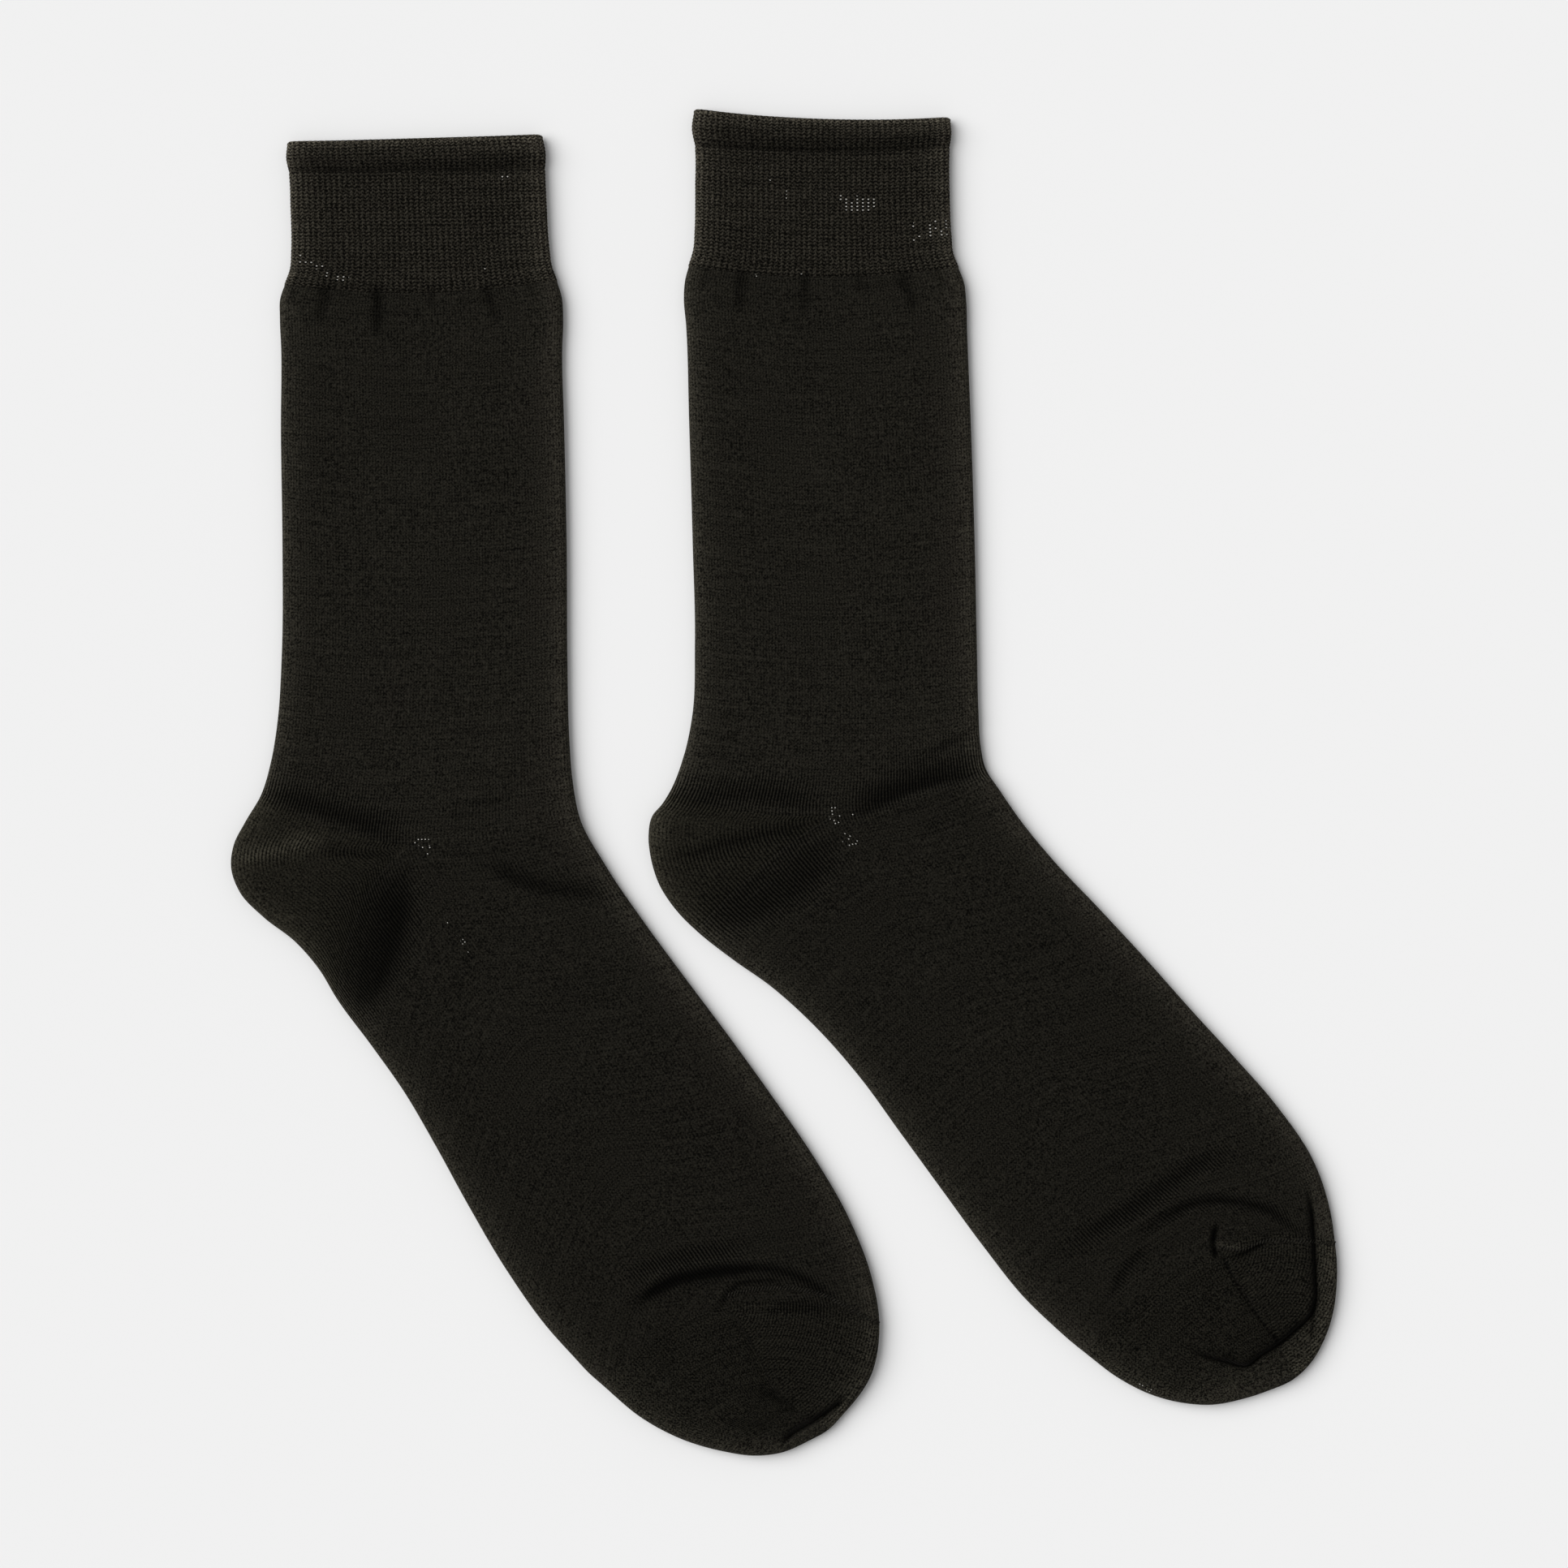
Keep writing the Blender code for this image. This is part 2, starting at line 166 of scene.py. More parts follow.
BANK_PLACE = 2.1  # where the bank beside a trough stands, in half widths of the trough
BANK_WIDTH = 0.8
SAG = 0.55  # how far the upper layer sinks between its folds, and over what distance
SAG_REACH = 9.0
WAVE = 0.16  # slow unevenness of the upper layer
DEEPEST = 2.3  # a crease in the upper layer stops here, short of the layer below
PAINTED_FOLD_HIGHLIGHT = 1.8  # painted highlight: how much lighter the colour is made along the folded edges, and over what distance
PAINTED_FOLD_HIGHLIGHT_REACH = 3.6
LIP_REACH = 14.0
PAINTED_SHADE_TOWARDS_TOE = (0.0, -0.12, -0.22, -0.32)  # painted shade: the colour is made darker by the heel, the toe line and the toe tip


def lengths(vectors):
    return np.linalg.norm(vectors, axis=-1)


def unit(vectors):
    return vectors / lengths(vectors)[..., None]


def gaps(points):
    """The distance from each point, or row of points, to the next."""
    return lengths(np.diff(points, axis=0))


def run_lengths(points):
    """Lengths from the first point to each, along straight runs."""
    return np.concatenate([[0.0], np.cumsum(gaps(points))])


def curve(knots, values, at):
    """Smooth curve through the values, whose slope at each knot comes from its neighbours."""
    slopes = np.gradient(values, knots, axis=0)
    first = np.clip(np.searchsorted(knots, at, side="right") - 1, 0, len(knots) - 2)
    span = (knots[first + 1] - knots[first])[:, None]
    part = (at[:, None] - knots[first][:, None]) / span
    start_weight = (1 + 2 * part) * (1 - part) ** 2
    end_weight = part**2 * (3 - 2 * part)
    start_pull = part * (1 - part) ** 2 * span
    end_pull = part**2 * (part - 1) * span
    start = start_weight * values[first] + start_pull * slopes[first]
    return start + end_weight * values[first + 1] + end_pull * slopes[first + 1]


def smooth_run(points, spacing=0.6):
    """The same run as a smooth curve with points at an even spacing."""
    points = np.array(points, float)
    knots = run_lengths(points)
    at = np.linspace(0.0, knots[-1], max(int(knots[-1] / spacing), 2) + 1)
    return curve(knots, points, at)


def nearest_on(places, line):
    """For each place: the nearest point of a line, which side it is on, and how far along."""
    starts = line[:-1]
    runs = line[1:] - starts
    squared = (runs**2).sum(1)
    before = run_lengths(line)
    nearest = np.empty_like(places)
    side = np.empty(len(places))
    along = np.empty(len(places))
    at_once = 4000  # a few thousand places at a time keep the tables of gaps small
    for first in range(0, len(places), at_once):
        some = slice(first, first + at_once)
        offsets = places[some, None, :] - starts[None, :, :]
        part = np.clip((offsets * runs).sum(2) / squared, 0.0, 1.0)
        misses = offsets - part[:, :, None] * runs
        best = (misses**2).sum(2).argmin(1)
        pick = np.arange(len(best))
        chosen = part[pick, best]
        nearest[some] = starts[best] + chosen[:, None] * runs[best]
        run = runs[best]
        miss = misses[pick, best]
        side[some] = np.sign(run[:, 0] * miss[:, 1] - run[:, 1] * miss[:, 0])
        along[some] = before[best] + chosen * lengths(run)
    return nearest, side, along


def near_run(places, layer, run, reach):
    """The places of a layer within reach of a run's own box, and where they are beside the run.

    Gives their numbers, how far off they are, on which side (1 is the left), and how far along.
    """
    low = run.min(0) - reach
    high = run.max(0) + reach
    near = np.nonzero(((places > low) & (places < high)).all(1) & layer)[0]
    nearest, side, along = nearest_on(places[near], run)
    return near, lengths(places[near] - nearest), side, along


def bell(ratio):
    return np.exp(-(ratio**2))


def ease(part):
    part = np.clip(part, 0.0, 1.0)
    return part * part * (3 - 2 * part)


def faded(run, along, start, end):
    """Eases in over the start of a run and out over its end, as lengths or as shares of it."""
    length = run_lengths(run)[-1]
    return ease(along / start) * ease((length - along) / end)


class LaidSock:
    """One sock as it lies: its outline, its height, and every crease in its two layers."""

    def __init__(self, name, sections, toe_tip):
        self.name = name
        self.names = [stretch for stretch, rows in sections.items() for row in rows]
        self.last = len(self.names) - 1
        table = np.array([row for rows in sections.values() for row in rows], float)
        self.thick = table[:, 6]
        front, side, back = table[:, 0:2], table[:, 2:4], table[:, 4:6]
        self.toe_tip = np.array(toe_tip)
        self.lines = {}
        # Past the last section each line runs through the toe tip and on along the other fold.
        past_tip = (back[-1], 2 * self.toe_tip - side[-1], front[-1])
        for line, places, past in zip(("front", "side", "back"), (front, side, back), past_tip):
            every = np.array([*places, self.toe_tip, past])
            points = every[np.concatenate([[True], gaps(every) > 0])]
            self.lines[line] = (points, run_lengths(points), run_lengths(every))
        self.creases = []
        self.under = []
        self.lips = []
        self.gores = []
        self.pinholes = []

    def at(self, line, rows):
        """Places of one line at row numbers, which may lie between two sections."""
        points, knots, knot_of_row = self.lines[line]
        return curve(knots, points, np.interp(rows, np.arange(self.last + 3), knot_of_row))

    def height(self, rows):
        return np.interp(rows, np.arange(self.last + 1), self.thick)

    def stretch(self, name):
        """First and last row number of a knitted stretch."""
        begin = self.names.index(name)
        return begin, min(begin + self.names.count(name), self.last)

    def rows(self, begin, end, spacing):
        """Row numbers from begin to end, about spacing apart on the cloth."""
        fine = np.linspace(begin, end, int(np.ceil((end - begin) * 24)) + 1)
        longest = np.max([gaps(self.at(line, fine)) for line in self.lines], axis=0)
        run = np.concatenate([[0.0], np.cumsum(longest)])
        count = max(int(round(run[-1] / spacing)), 2)
        return np.interp(np.linspace(0.0, run[-1], count + 1), run, fine)

    def outline(self, rows):
        """The folded edge beside these rows: the front fold and the back fold, joined at the toe."""
        low = max(rows.min() - 3.0, 0.0)
        high = min(rows.max() + 3.0, self.last + 1)
        fine = np.linspace(low, high, int((high - low) * 12) + 1)
        front = self.at("front", fine)
        back = self.at("back", fine)
        lines = [front, back]
        if high == self.last + 1:
            lines = [np.concatenate([front, back[::-1]])]
        return [line[np.concatenate([[True], gaps(line) > 1e-6])] for line in lines]

    def half(self, rows, fold, flat, turn):
        """Places on half of each section, from the side line to a fold.

        flat is the number of steps on its level part and turn the number round the fold. With no
        turn, all the steps are even. Also gives each place's share of the way round.
        """
        far = self.at({"front": "back", "back": "front"}[fold], rows)
        heel_begin, heel_end = self.stretch("heel")
        if fold == "front":
            ankle = self.at("back", np.array([float(heel_begin)]))
            turned = ease((rows - heel_end) / 3.0)[:, None]
            far = np.where((rows > heel_begin)[:, None], (1 - turned) * ankle + turned * far, far)
        step = np.linspace(0.0, 1.0, 25)[None, :, None]
        bow = (1 - step**2) * self.at("side", rows)[:, None]
        bow = bow + step * (step + 1) / 2 * self.at(fold, rows)[:, None]
        bow = bow + step * (step - 1) / 2 * far[:, None]
        places = []
        shares = []
        for line, height in zip(bow, self.height(rows)):
            run = run_lengths(line)
            length = run[-1]
            radius = min(height / 2, 0.6 * length)
            level = length - radius
            if turn:
                angle = np.linspace(0.0, np.pi / 2, turn + 1)[1:]
                arc = np.concatenate([np.linspace(0.0, level, flat + 1), level + radius * angle])
            else:
                arc = np.linspace(0.0, level + radius * np.pi / 2, flat + 1)
            angle = np.clip((arc - level) / radius, 0.0, np.pi / 2)
            spot = np.where(arc < level, arc, level + radius * np.sin(angle))
            places.append(np.column_stack([np.interp(spot, run, line[:, k]) for k in (0, 1)]))
            shares.append(arc / arc[-1])
        return np.array(places), np.array(shares)

    def relief(self, places, above, inward, radius):
        """How far creases lift or sink the cloth and open its wales, and the painted shade and highlights
        on it.
        """
        lift = np.zeros(len(places))
        stripes = np.zeros(len(places))
        tone = np.zeros(len(places))
        top = above > 0
        for creases, layer in ((self.creases, top), (self.under, ~top)):
            for crease in creases:
                reach = 3.2 * max(crease.left, crease.right)
                near, away, side, along = near_run(places, layer, crease.run, reach)
                share = 0.3 * run_lengths(crease.run)[-1]
                fade = faded(crease.run, along, share, share)
                width = np.where(side > 0, crease.left, crease.right)
                bank = np.where(side > 0, crease.left_bank, crease.right_bank)
                lift[near] -= fade * crease.depth * bell(away / width)
                lift[near] += fade * bank * bell((away / width - BANK_PLACE) / BANK_WIDTH)
                # Opens the wales; the material also paints shade into the grooves between them.
                stripes[near] += fade * crease.stripes * bell(away / (1.5 * width))
                # Painted shade along the trough, or a painted highlight along a ridge.
                tone[near] += fade * crease.tone * bell(away / (1.1 * width))
        level = np.clip(inward - radius, 0.0, None)
        lift -= np.where(top, SAG * (1 - bell(level / SAG_REACH)), 0.0)
        wave = np.sin(places[:, 0] * 0.11 + 1.3 * np.sin(places[:, 1] * 0.045))
        wave = wave * np.sin(places[:, 1] * 0.07 + 0.9 * np.sin(places[:, 0] * 0.06) + 0.5)
        lift += np.where(top, WAVE * wave, 0.0) * ease(level / 8.0)
        for lip in self.lips:
            near, away, side, along = near_run(places, top, lip.run, LIP_REACH)
            away = side * away
            fade = faded(lip.run, along, lip.start_fade, lip.end_fade)
            beyond = ease(away / lip.width) * ease((LIP_REACH - 1.0 - away) / 4.0)
            slit = bell((away - 0.4 * lip.width) / lip.width)
            lift[near] -= fade * (lip.drop * beyond + lip.crevice * slit)
            lift[near] += fade * 0.25 * bell(away + 1.6)
            # Painted shade in the slit under the lip and along the lip's edge, and a painted highlight on
            # the layer beyond.
            tone[near] += fade * (0.35 * beyond - 1.1 * slit - 0.35 * bell((away + 1.0) / 2.2))
        for gore in self.gores:
            near, away, side, along = near_run(places, top, gore.run, 2.0)
            dents = 0.5 - 0.5 * np.cos(2 * np.pi * along / gore.pitch)
            sunk = gore.depth * bell(away / gore.width) * dents
            lift[near] -= sunk
            # Painted shade in the dents.
            tone[near] -= 1.6 * sunk
        lift = np.where(top, np.maximum(lift, -DEEPEST), lift)
        # Painted highlight along the folded edges.
        tone += PAINTED_FOLD_HIGHLIGHT * np.exp(-inward / PAINTED_FOLD_HIGHLIGHT_REACH)
        return lift, np.clip(stripes, 0.0, 1.0), tone

    def open_stitches(self, grid, above):
        """What share of the upper layer's stitches is pulled open at each place of a grid."""
        places = grid.reshape(-1, 2)
        layer = np.broadcast_to(above > 0, grid.shape[:2]).ravel()
        share = np.zeros(len(places))
        for zone in self.pinholes:
            near, away, side, along = near_run(places, layer, zone.run, 2.5 * zone.reach)
            share[near] = np.maximum(share[near], zone.share * bell((away / zone.reach) ** 2))
        return share.reshape(grid.shape[:2])

    def lay(self, rows, places, above):
        """Puts a grid of places on the sock: the bare form, its outward normals and its reliefs."""
        radius = np.repeat(self.height(rows)[:, None] / 2, places.shape[1], axis=1)
        flat = places.reshape(-1, 2)
        away = np.full(len(flat), np.inf)
        best = np.zeros_like(flat)
        for line in self.outline(rows):
            nearest = nearest_on(flat, line)[0]
            gap = lengths(flat - nearest)
            closer = gap < away
            best = np.where(closer[:, None], nearest, best)
            away = np.where(closer, gap, away)
        inward = away.reshape(radius.shape)
        heading = (flat - best).reshape(places.shape) / np.maximum(inward, 1e-9)[:, :, None]
        middle = self.at("side", rows)[:, None, :] - places
        middle = middle / np.maximum(lengths(middle), 1e-9)[:, :, None]
        on_edge = (inward < 0.06) | ((heading * middle).sum(2) < 0.0) & (inward < radius)
        heading = np.where(on_edge[:, :, None], middle, heading)
        part = np.clip(inward / radius, 0.0, 1.0)
        rise = np.sqrt(1 - (1 - part) ** 2)
        sign = np.broadcast_to(above, radius.shape)
        form = np.dstack([places, radius + sign * radius * rise])
        normals = np.dstack([-heading * (1 - part)[:, :, None], sign * rise])
        lift, stripes, tone = self.relief(flat, sign.ravel(), away, radius.ravel())
        heel_begin = self.stretch("heel")[0]
        toe_begin = self.stretch("toe")[0]
        # Painted shade, darker by the heel, the toe line and the toe tip.
        shade_towards_toe = np.interp(rows, (heel_begin, heel_begin + 9, toe_begin - 1, self.last), PAINTED_SHADE_TOWARDS_TOE)
        tone = tone.reshape(radius.shape) + shade_towards_toe[:, None]
        lift = lift.reshape(radius.shape) * rise**2
        marks = {"stripes": stripes.reshape(radius.shape), "tone": tone}
        return form, normals, lift, marks


LEFT = LaidSock("left", LEFT_SOCK, LEFT_TOE_TIP)
RIGHT = LaidSock("right", RIGHT_SOCK, RIGHT_TOE_TIP)


def full_ring(sock, rows, flat, under_flat, turn):
    """Columns all round the tube: over the top from the back fold, and back below to it."""
    top_back, back_share = sock.half(rows, "back", flat, turn)
    top_front, front_share = sock.half(rows, "front", flat, turn)
    low_back, low_back_share = sock.half(rows, "back", under_flat, turn)
    low_front, low_front_share = sock.half(rows, "front", under_flat, turn)
    places = [top_back[:, ::-1], top_front[:, 1:], low_front[:, -2::-1], low_back[:, 1:]]
    under = 3 * HALF_ROUND
    wales = [HALF_ROUND * (1 - back_share[:, ::-1]), HALF_ROUND * (1 + front_share[:, 1:])]
    wales += [under - HALF_ROUND * low_front_share[:, -2::-1], under + HALF_ROUND * low_back_share[:, 1:]]
    top_count = places[0].shape[1] + places[1].shape[1]
    low_count = places[2].shape[1] + places[3].shape[1]
    above = np.concatenate([np.ones(top_count), -np.ones(low_count)])
    return np.concatenate(places, axis=1), np.concatenate(wales, axis=1), above


TABLE_GAP = 0.02  # the underside stays this far off the table
LAYER_GAP = 0.12  # and the upper layer this far off the one below
SAME_POINT = 0.0005


def into_scene(name, data):
    made = bpy.data.objects.new(name, data)
    bpy.context.scene.collection.objects.link(made)
    return made


def make_cloth(name, outer, inner, lip, wales, courses, marks, closed):
    """A thin shell of cloth with an outer and an inner face, joined along its edges.

    outer is a grid of points, inner has the same columns and may have fewer rows, and lip holds
    rows of points that round the edge from the first outer row to the first inner row. wales and
    courses count the stitches over the outer grid, and marks are its named shading masks.
    """
    count = outer.shape[1] - 1 if closed else outer.shape[1]
    grids = [outer[:, :count], inner[:, :count]]
    if len(lip):
        grids.append(lip[:, :count])
    starts = np.cumsum([0] + [grid.shape[0] * count for grid in grids])
    points = np.concatenate([grid.reshape(-1, 3) for grid in grids]) * MM
    points[:, 2] = np.maximum(points[:, 2], TABLE_GAP * MM)
    ring = np.arange(count if closed else count - 1)
    beside = (ring + 1) % count
    rows = len(outer)
    inside = starts[1]

    def between(first, after):
        """Faces from one row of points to another, for rows that start at these numbers."""
        first = np.reshape(first, (-1, 1))
        after = np.reshape(after, (-1, 1))
        corners = [first + ring, after + ring, after + beside, first + beside]
        return np.stack(corners, axis=2).reshape(-1, 4)

    down = np.arange(rows) * count
    inner_down = inside + np.arange(len(inner)) * count
    around = [0, *[starts[2] + row * count for row in range(len(lip))], inside]
    faces = [between(down[:-1], down[1:]), between(inner_down[1:], inner_down[:-1])]
    faces += [between(around[1:], around[:-1]), between(down[-1], inner_down[-1])]
    outer_faces = len(faces[0])
    faces = np.concatenate(faces)
    counts = np.dstack([wales, courses])
    corners = [counts[:-1, :-1], counts[1:, :-1], counts[1:, 1:], counts[:-1, 1:]]
    mesh = bpy.data.meshes.new(name)
    mesh.from_pydata(points.tolist(), [], faces.tolist())
    smooth = np.ones(len(faces), bool)
    if not len(lip):
        smooth[-2 * len(ring) :] = False
    mesh.polygons.foreach_set("use_smooth", smooth)
    inner_wales = np.tile(wales[0, :count], len(points) // count)
    loose = inner_wales[faces[outer_faces:].ravel()]
    depth = -points[faces[outer_faces:].ravel(), 1] / MM
    uv = np.concatenate([np.stack(corners, axis=2).reshape(-1, 2), np.column_stack([loose, depth])])
    mesh.uv_layers.new(name="knit").data.foreach_set("uv", uv.ravel())
    for mark, values in marks.items():
        spread = np.zeros(len(points))
        spread[: rows * count] = values[:, :count].ravel()
        if len(lip):
            spread[starts[2] :] = np.tile(values[0, :count], len(lip))
        mesh.attributes.new(mark, "FLOAT", "POINT").data.foreach_set("value", spread)
    tidy = bmesh.new()
    tidy.from_mesh(mesh)
    bmesh.ops.remove_doubles(tidy, verts=tidy.verts, dist=SAME_POINT * MM)
    bmesh.ops.dissolve_degenerate(tidy, edges=tidy.edges, dist=SAME_POINT * MM)
    loose_edges = [edge for edge in tidy.edges if not edge.link_faces]
    bmesh.ops.delete(tidy, geom=loose_edges, context="EDGES")
    tidy.to_mesh(mesh)
    tidy.free()
    return into_scene(name, mesh)


def inside_of(form, normals, lift, wall, bands):
    """The inner face of the cloth, in a number of bands.

    Each of its rows lies a wall inside the lowest outer row of the bands beside it.
    """
    keep = np.unique(np.linspace(0, len(form) - 1, bands).round().astype(int))
    lowest = lift.copy()
    for place, row in enumerate(keep):
        before = keep[max(place - 1, 0)]
        after = keep[min(place + 1, len(keep) - 1)]
        lowest[row] = lift[before : after + 1].min(axis=0)
    inner = form + normals * (lowest - wall)[:, :, None]
    upper = normals[:, :, 2] > 0.9
    inner[:, :, 2] = np.where(upper, np.maximum(inner[:, :, 2], wall + LAYER_GAP), inner[:, :, 2])
    return inner[keep]


def node(tree, kind, inputs=(), **values):
    """Adds a node, sets its properties, and fills its inputs with numbers or links."""
    made = tree.nodes.new(kind)
    for key, value in values.items():
        setattr(made, key, value)
    fill(made, dict(inputs))
    return made


def fill(made, inputs):
    """Sets inputs of a node, by name or number, to numbers, colours or the output of another."""
    for label, value in inputs.items():
        if isinstance(value, Value):
            value = value.output
        if isinstance(value, bpy.types.NodeSocket):
            value.id_data.links.new(value, made.inputs[label])
        else:
            made.inputs[label].default_value = value


class Value:
    """The output of a node in a shader, to be worked on like a number."""

    def __init__(self, output):
        self.output = output

    def __add__(self, other):
        return worked("ADD", self, other)

    def __sub__(self, other):
        return worked("SUBTRACT", self, other)

    def __rsub__(self, other):
        return worked("SUBTRACT", other, self)

    def __mul__(self, other):
        return worked("MULTIPLY", self, other)


def worked(operation, *values):
    """One step of arithmetic on values and plain numbers."""
    tree = next(value.output.id_data for value in values if isinstance(value, Value))
    return Value(node(tree, "ShaderNodeMath", enumerate(values), operation=operation).outputs[0])


def noise(tree, where, scale, detail):
    """Soft unevenness about zero over a place or a stitch count."""
    inputs = {"Vector": where, "Scale": scale, "Detail": detail}
    return Value(node(tree, "ShaderNodeTexNoise", inputs).outputs["Fac"]) - 0.5


def new_group(name, takes, gives):
    """A shader node group that takes a stitch count and some values, and gives others."""
    group = bpy.data.node_groups.new(name, "ShaderNodeTree")
    group.interface.new_socket("Stitch", in_out="INPUT", socket_type="NodeSocketVector")
    for label, value in takes.items():
        socket = group.interface.new_socket(label, in_out="INPUT", socket_type="NodeSocketFloat")
        socket.default_value = value
    for label in gives:
        group.interface.new_socket(label, in_out="OUTPUT", socket_type="NodeSocketFloat")
    start = group.nodes.new("NodeGroupInput").outputs
    end = group.nodes.new("NodeGroupOutput")
    return group, start["Stitch"], {label: Value(start[label]) for label in takes}, end


def knit_stitches():
    """Columns of V-shaped stitches: their height in millimetres, and how light each spot is."""
    takes = {"Stripes": 0.0, "Tone": 0.0, "Wale Rise": 0.05, "Course Rise": 0.03, "Fuzz Rise": 0.03}
    takes.update({"Course Contrast": 0.35, "Contrast": 0.3})
    tree, stitch, given, out = new_group("Knit stitches", takes, ("Height", "Shade"))
    parts = node(tree, "ShaderNodeSeparateXYZ", {0: stitch}).outputs
    place = node(tree, "ShaderNodeTexCoord").outputs["Object"]
    wander = noise(tree, place, 160.0, 2.0) * 0.7
    grain = noise(tree, place, 1900.0, 3.0)
    wale = Value(parts["X"]) + wander
    ridge = worked("ABSOLUTE", worked("SINE", wale * np.pi))
    slant = worked("ABSOLUTE", worked("FRACT", wale) - 0.5) * 0.9
    loop = worked("COSINE", (Value(parts["Y"]) - slant + wander) * (2 * np.pi)) * 0.5
    stripes = given["Stripes"]
    wales = ridge * given["Wale Rise"] * (stripes * 1.6 + 1.0)
    loops = (loop + 0.5) * given["Course Rise"] * (1.0 - stripes * 0.8)
    along_courses = {0: stitch, 1: (0.035, 1.1, 1.0)}
    stretched = node(tree, "ShaderNodeVectorMath", along_courses, operation="MULTIPLY").outputs[0]
    streaks = noise(tree, stretched, 1.0, 2.0)
    # Painted shade in the grooves between the wales, deeper where a crease opens them into stripes.
    grooves = (ridge * ridge - 0.5) * (stripes * 2.4 + 0.30)
    shade = grooves + loop * given["Course Contrast"] + grain * 4.6 + streaks
    shade = worked("MAXIMUM", shade * given["Contrast"] + 1.0, 0.15)
    # The sock's painted shade and highlights make the whole lighter or darker.
    shade = shade * worked("MAXIMUM", given["Tone"] + 1.0, 0.12)
    fill(out, {"Height": wales + loops + grain * given["Fuzz Rise"], "Shade": shade})
    return tree


def pinhole_dots():
    """A small round hole in the middle of some stitches, picked at random where they are open."""
    takes = {"Open": 0.0, "Shift": 0.0, "Size": 0.20}
    tree, stitch, given, out = new_group("Pinholes", takes, ("Hole",))

    def vector(operation, *inputs):
        return node(tree, "ShaderNodeVectorMath", enumerate(inputs), operation=operation).outputs

    aside = node(tree, "ShaderNodeCombineXYZ", {"X": given["Shift"]}).outputs[0]
    counted = vector("ADD", stitch, aside)[0]
    cell = vector("FLOOR", counted)[0]
    chance = node(tree, "ShaderNodeTexWhiteNoise", noise_dimensions="2D")
    fill(chance, {"Vector": cell})
    from_centre = vector("DISTANCE", vector("FRACTION", counted)[0], (0.5, 0.5, 0.0))["Value"]
    picked = worked("LESS_THAN", Value(chance.outputs["Value"]), given["Open"])
    fill(out, {"Hole": picked * worked("LESS_THAN", Value(from_centre), given["Size"])})
    return tree


STITCHES = knit_stitches()
PINHOLES = pinhole_dots()
PALE_GROUND = (0.42, 0.41, 0.38, 1.0)  # shows through a pulled stitch
SHEEN_TINT = (1.0, 0.93, 0.84, 1.0)


def knit_material(name, colour, rises, contrast, course_contrast=0.35, hole_shift=0.0, hole_size=0.17):
    """Dark cotton yarn knitted up: shaded by its stitches and by painted shade and highlights, as along the
    folds.
    """
    material = bpy.data.materials.new(name)
    material.use_nodes = True
    tree = material.node_tree
    counts = node(tree, "ShaderNodeUVMap", uv_map="knit").outputs["UV"]

    def mask(name):
        return node(tree, "ShaderNodeAttribute", attribute_name=name).outputs["Fac"]

    stitches = node(tree, "ShaderNodeGroup", node_tree=STITCHES)
    fill(stitches, {"Stitch": counts, "Stripes": mask("stripes"), "Tone": mask("tone")})
    fill(stitches, dict(zip(("Wale Rise", "Course Rise", "Fuzz Rise"), rises)))
    fill(stitches, {"Contrast": contrast, "Course Contrast": course_contrast})
    holes = node(tree, "ShaderNodeGroup", node_tree=PINHOLES)
    fill(holes, {"Stitch": counts, "Open": mask("open_stitches"), "Shift": hole_shift, "Size": hole_size})
    shade = {0: colour, "Scale": stitches.outputs["Shade"]}
    shaded = node(tree, "ShaderNodeVectorMath", shade, operation="SCALE").outputs[0]
    pale = node(tree, "ShaderNodeMix", data_type="RGBA")
    fill(pale, {"Factor": holes.outputs["Hole"], 6: shaded, 7: PALE_GROUND})
    bump = node(tree, "ShaderNodeBump", {"Strength": 1.0, "Distance": MM})
    fill(bump, {"Height": stitches.outputs["Height"]})
    shader = tree.nodes["Principled BSDF"]
    fill(shader, {"Base Color": pale.outputs[2], "Normal": bump.outputs["Normal"], "Roughness": 0.85})
    fill(shader, {"Specular IOR Level": 0.02, "Sheen Weight": 0.03, "Sheen Roughness": 0.45})
    fill(shader, {"Sheen Tint": SHEEN_TINT})
    return material


RIB_YARN = knit_material(
    "Rib knit", (0.0126, 0.0113, 0.0086), (0.06, 0.08, 0.16), 1.80, 0.95, hole_shift=0.5, hole_size=0.16
)


def lay_rib(sock, name):
    """The bare form of a stretch of rib, what lies on it, and its rib and stitch counts."""
    rows = sock.rows(*sock.stretch(name), COURSE / COURSE_STEPS)
    places, wales, above = full_ring(sock, rows, *RIB_STEPS)
    form, normals, lift, marks = sock.lay(rows, places, above)
    marks["open_stitches"] = sock.open_stitches(places, above)
    down = np.arange(len(rows))[:, None] / COURSE_STEPS
    courses = np.repeat(down, places.shape[1], axis=1)
    return form, normals, lift, marks, wales * RIBS_PER_HALF / HALF_ROUND, courses, down


def raise_ribs(form, normals, lift, pressed, ribs, courses):
    """The outer face of the rib: a plump ridge for each rib with a bead for each course.

    What is pressed across the ribs is weaker round the folds.
    """
    ridge = np.cos(2 * np.pi * ribs)
    bead = np.cos(2 * np.pi * courses)
    plump = RIB_RISE * ridge + STITCH_RISE * bead * (0.5 + 0.5 * ridge)
    pressed = pressed * (0.2 + 0.8 * np.abs(normals[:, :, 2]))
    return form + normals * (lift + pressed + plump)[:, :, None]


def finish_piece(piece, material, nodes):
    """Gives a piece its yarn, hangs it on the root of the frame, and hides the parts of the model that it
    stands in for.
    """
    piece.data.materials.append(material)
    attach(piece, "root")
    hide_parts(*nodes)


